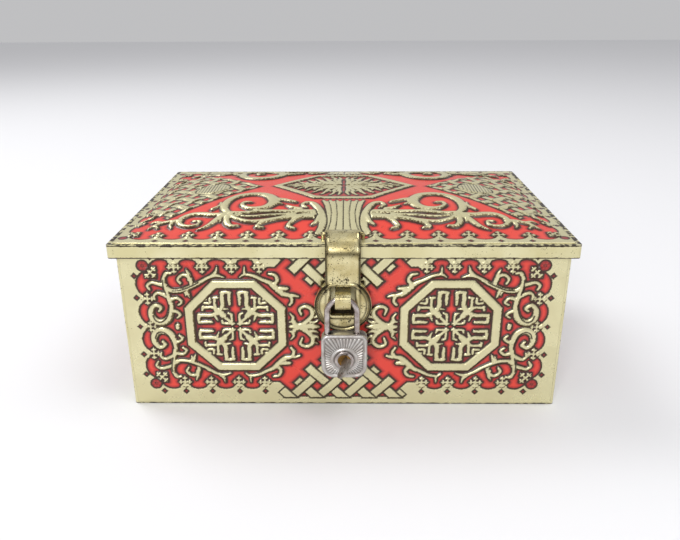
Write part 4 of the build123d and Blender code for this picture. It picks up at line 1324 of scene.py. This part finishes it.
@dataclass
class Padlock:
    """The small padlock's face: a raised rim, rays pressed round the key plug, and a ring."""

    corner_top: float = 3.0
    corner_foot: float = 5.5
    inset: float = 0.12  # of the plate from the case's outline
    skin: float = 0.06  # stand-off from the solid case
    sink: float = 0.25
    rim: float = 1.3
    rim_high: float = 0.42
    flutes: int = 44
    flute_high: float = 0.16
    ring_in: float = 4.15
    collar_r: float = 5.1
    collar_high: float = 0.34
    points: int = 352
    rows: int = 44

    def outline(self, x: Array, z: Array) -> Array:
        """Signed distance inside the case, its corners rounder at the foot."""
        low, high = corner("padlock_front")
        middle, half = (low + high) / 2, (high - low) / 2
        radius = np.where(z > middle[2], self.corner_top, self.corner_foot)
        return round_box(x - middle[0], z - middle[2], (half[0], half[2]), radius)

    def build(self, nickel: bpy.types.Material) -> None:
        """Make the face plate: rings from the plug out to the case's outline, lifted by the relief.

        Args:
            nickel: its material.
        """
        front = corner("padlock_front")[0][1]
        centre = tuple(sum(corner("padlock_bezel"))[[0, 2]] / 2)
        angle = -np.arange(self.points) / self.points * 2 * math.pi
        reach = reach_of(lambda x, z: self.outline(x, z) - self.inset, centre, angle, 20.0)
        share = np.linspace(0, 1, self.rows)[:, None] ** 0.9
        radius = self.ring_in + (reach - self.ring_in)[None, :] * share
        x, z = centre[0] + radius * np.cos(angle), centre[1] + radius * np.sin(angle)
        depth = self.outline(x, z)
        edge = smooth_step(depth, self.rim + 0.35, self.rim - 0.35) * smooth_step(depth, 0.0, 0.6)
        open_plate = smooth_step(depth, self.rim + 0.3, self.rim + 0.9) * smooth_step(radius, 5.7, 6.5)
        wave = np.cos(self.flutes * angle)[None, :]
        sharp = np.sign(wave) * np.abs(wave) ** 0.7
        lift = self.skin + self.rim_high * edge + self.flute_high * open_plate * (sharp + 1)
        lift += self.collar_high * bell(radius, self.collar_r, 0.45)
        top = np.stack([x, front - lift, z], -1)
        under = np.stack([x, np.full_like(x, front + self.sink), z], -1)
        piece = closed_ring("padlock_face", np.concatenate([top, under[::-1][:: self.rows - 1]]))
        # painted shade in the flutes' troughs, along the case's edge, at the rim's foot and round the plug
        painted_shade = open_plate * 0.55 * smooth_step(-sharp, -0.1, 0.8) + 0.35 * smooth_step(depth, 0.5, 0.0)
        painted_shade += 0.5 * bell(depth, self.rim + 0.5, 0.3) + 0.5 * smooth_step(radius, 4.9, 4.3)
        add_attribute(piece, "painted_shade", np.concatenate([np.clip(painted_shade, 0, 1).ravel(), np.zeros(2 * self.points)]))
        piece.data.materials.append(nickel)
        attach(piece, "padlock")
        log.info("%s: %d flutes", piece.name, self.flutes)


@dataclass
class Hasp:
    """The hasp's brass face: a strap with rolled edges over the bend, and the pressed disc."""

    bend_y: float = -59.2
    bend_z: float = 74.4
    bend_r: float = 9.4
    bend_from: float = 14.0  # degrees from the top where the face starts
    strap_half: float = 7.45
    strap_foot: float = 62.6
    bead: float = 0.62  # half the width of the rolled edge
    bead_high: float = 0.4
    dark_reflection_z: float = 76.4  # middle of the painted dark reflection across the bend
    disc_z: float = 52.7
    disc_r: float = 12.2
    window_half: float = 5.35
    window_z: float = 55.1
    window_high: float = 6.5  # half the window's height
    points: int = 240
    rows: int = 40

    def strap(self, brass: bpy.types.Material) -> None:
        """The strap: a section with beaded edges carried down the bend and the straight.

        The bead is a half circle at each edge and the crown between them is a low parabola.

        Args:
            brass: its material.
        """
        turn = np.radians(np.linspace(self.bend_from, 90, 40))
        down = np.linspace(self.bend_z - 0.8, self.strap_foot, 24)
        straight = np.full_like(down, 1.0)
        out_y = -np.concatenate([np.sin(turn), straight])[::-1, None]
        out_z = np.concatenate([np.cos(turn), 0 * straight])[::-1, None]
        y = self.bend_y + self.bend_r * out_y
        z = np.concatenate([self.bend_z + self.bend_r * np.cos(turn), down])[::-1, None]
        x = np.linspace(-self.strap_half, self.strap_half, 60)[None, :] + 0 * z
        edge = np.abs(x) - (self.strap_half - 0.6)
        bead = self.bead_high * np.sqrt(np.clip(1 - (edge / self.bead) ** 2, 0, 1))
        lift = 0.07 + np.maximum(bead, 0.14 * (1 - (x / self.strap_half) ** 2))
        top, under = (np.stack([x, y + out_y * up, z + out_z * up], -1) for up in (lift, 0 * lift - 0.25))
        piece = slab("hasp_strap_face", top, under, 1)
        # painted shade on the rolled edges, and a painted dark reflection across the bend
        painted_shade = np.maximum(0.9 * smooth_step(edge, -0.7, 0.1), 0.7 * bell(z, self.dark_reflection_z, 1.3))
        add_attribute(piece, "painted_shade", np.tile(painted_shade.ravel(), 2))
        piece.data.materials.append(brass)
        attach(piece, "hasp")
        log.info("%s: %d sections", piece.name, len(y))

    def window(self, x: Array, z: Array) -> Array:
        """Signed distance inside the window, whose corners have a radius of 1 mm."""
        return round_box(x, z - self.window_z, (self.window_half, self.window_high), 1.0)

    def disc(self, brass: bpy.types.Material) -> None:
        """The disc: height rings between the window's rounded outline and the rolled rim.

        Args:
            brass: its material.
        """
        front = self.bend_y - self.bend_r
        angle = -np.arange(self.points) / self.points * 2 * math.pi
        middle = (0.0, self.window_z)
        inner = reach_of(self.window, middle, angle, 12.0)
        outer = reach_of(lambda x, z: self.disc_r - np.hypot(x, z - self.disc_z), middle, angle, 30.0)
        radius = inner[None, :] + (outer - inner)[None, :] * np.linspace(0, 1, self.rows)[:, None]
        x, z = middle[0] + radius * np.cos(angle), middle[1] + radius * np.sin(angle)
        rim = self.disc_r - np.hypot(x, z - self.disc_z)
        away = -self.window(x, z)
        fade = smooth_step(z, 63.6, 61.4)  # the disc's rim ends under the strap
        lift = 0.16 + (0.5 * bell(rim, 0.75, 0.45) - 0.1 * bell(rim, 2.2, 0.9)) * fade
        lift += 0.42 * smooth_step(away, 2.2, 1.0) * smooth_step(away, 0.0, 0.35)
        top = np.stack([x, front - lift, z], -1)
        under = np.stack([x, np.full_like(x, front + 0.3), z], -1)
        piece = closed_ring("hasp_disc_face", np.concatenate([top, under[::-1][:: self.rows - 1]]))
        # painted shade on the rolled rim and the groove inside it, round the window's edge, darker towards the
        # foot, and on the hidden back
        painted_shade = (0.95 * smooth_step(rim, 1.3, 0.6) + 0.75 * bell(rim, 2.0, 0.5)) * fade
        painted_shade += 0.8 * smooth_step(away, 0.55, 0.1) + 0.5 * bell(away, 2.0, 0.5)
        painted_shade += 0.3 * smooth_step(z, 47.0, 43.0)
        add_attribute(piece, "painted_shade", np.concatenate([np.clip(painted_shade, 0, 1).ravel(), np.ones(2 * self.points)]))
        piece.data.materials.append(brass)
        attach(piece, "hasp")
        log.info("%s: front at %.2f mm", piece.name, front)


# ---------------------------------------------------------------- putting it together


def dress_nodes() -> dict[str, bpy.types.Material]:
    """Give every CAD node its finish.

    Returns:
        The finishes' materials by slot.
    """
    finishes = (GOLD_TIN, PRESSED_BRASS, TURNED_BRASS, NICKEL_STEEL, BRIGHT_STEEL, PLAIN_STEEL)
    made = {finish.slot: finish.build() for finish in finishes}
    worn = {
        "body_wall": EdgeWear(97.5, 63.0, (0.1,), 0.8, 0.75),
        "lid_shell": EdgeWear(100.3, 65.8, (73.5, 79.0), 0.8, 0.8),
    }
    for part in frame["record"]["subparts"]:
        node = frame["nodes"][part["node"]]
        if part["node"] in worn:
            material = GOLD_TIN.build()
            material.name = f"gold_lacquered_{part['node']}"
            worn[part["node"]].add_to(material)
        else:
            material = made[part["material_slot"]]
        node.data.materials.clear()
        node.data.materials.append(material)
        log.info("%s dressed in %s", part["node"], material.name)
    return made


def set_stage() -> None:
    """A plain pale floor, soft light from above and the front, and the camera."""
    reach = 3.0
    points = np.array([(-reach, -reach, 0), (reach, -reach, 0), (reach, reach, 0), (-reach, reach, 0)]) / MM
    floor = new_piece("floor", points - np.array([0, 0, 0.02]), [[0, 1, 2, 3]])
    cloth = bpy.data.materials.new("pale_matt_floor")
    cloth.use_nodes = True
    cloth.node_tree.nodes["Principled BSDF"].inputs["Base Color"].default_value = linear("#ececee")
    cloth.node_tree.nodes["Principled BSDF"].inputs["Roughness"].default_value = 0.95
    floor.data.materials.append(cloth)
    world = bpy.data.worlds.new("studio")
    bpy.context.scene.world = world
    bpy.context.scene.view_settings.view_transform = "Standard"
    world.use_nodes = True
    world.node_tree.nodes["Background"].inputs[0].default_value = linear("#f4f4f6")
    world.node_tree.nodes["Background"].inputs[1].default_value = 0.58
    for name, place, size, power in (
        ("window_light", (-0.8, 0.5, 1.2), 0.7, 8.5),
        ("top_light", (0.6, -0.2, 1.5), 0.9, 7.0),
        ("front_light", (-0.5, -1.6, 0.8), 0.6, 14.0),
    ):
        lamp = bpy.data.lights.new(name, "AREA")
        lamp.size, lamp.energy = size, power
        light = bpy.data.objects.new(name, lamp)
        light.location = place
        aim = np.array([0, 0, 0.04]) - np.array(place)
        light.rotation_euler = (math.atan2(math.hypot(aim[0], aim[1]), -aim[2]), 0, math.atan2(-aim[0], aim[1]))
        bpy.context.scene.collection.objects.link(light)
    lens = bpy.data.cameras.new("camera")
    lens.lens, lens.sensor_width, lens.clip_start = 35.42, 36.0, 0.01
    camera = bpy.data.objects.new("camera", lens)
    camera.location = (0.0024, -0.3298, 0.1743)
    camera.rotation_euler = (math.radians(68.12), math.radians(0.269), math.radians(0.682))
    bpy.context.scene.collection.objects.link(camera)
    bpy.context.scene.camera = camera


def main() -> None:
    """Build every piece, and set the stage."""
    logging.basicConfig(level=logging.INFO, format="%(message)s")
    made = dress_nodes()
    printed = Litho().build("printed_tinplate")
    Body().build(printed)
    Lid().build(printed)
    Hasp().strap(made["pressed_brass"])
    Hasp().disc(made["pressed_brass"])
    Padlock().build(made["nickelled_steel"])
    set_stage()


if __name__ == "__main__":
    main()
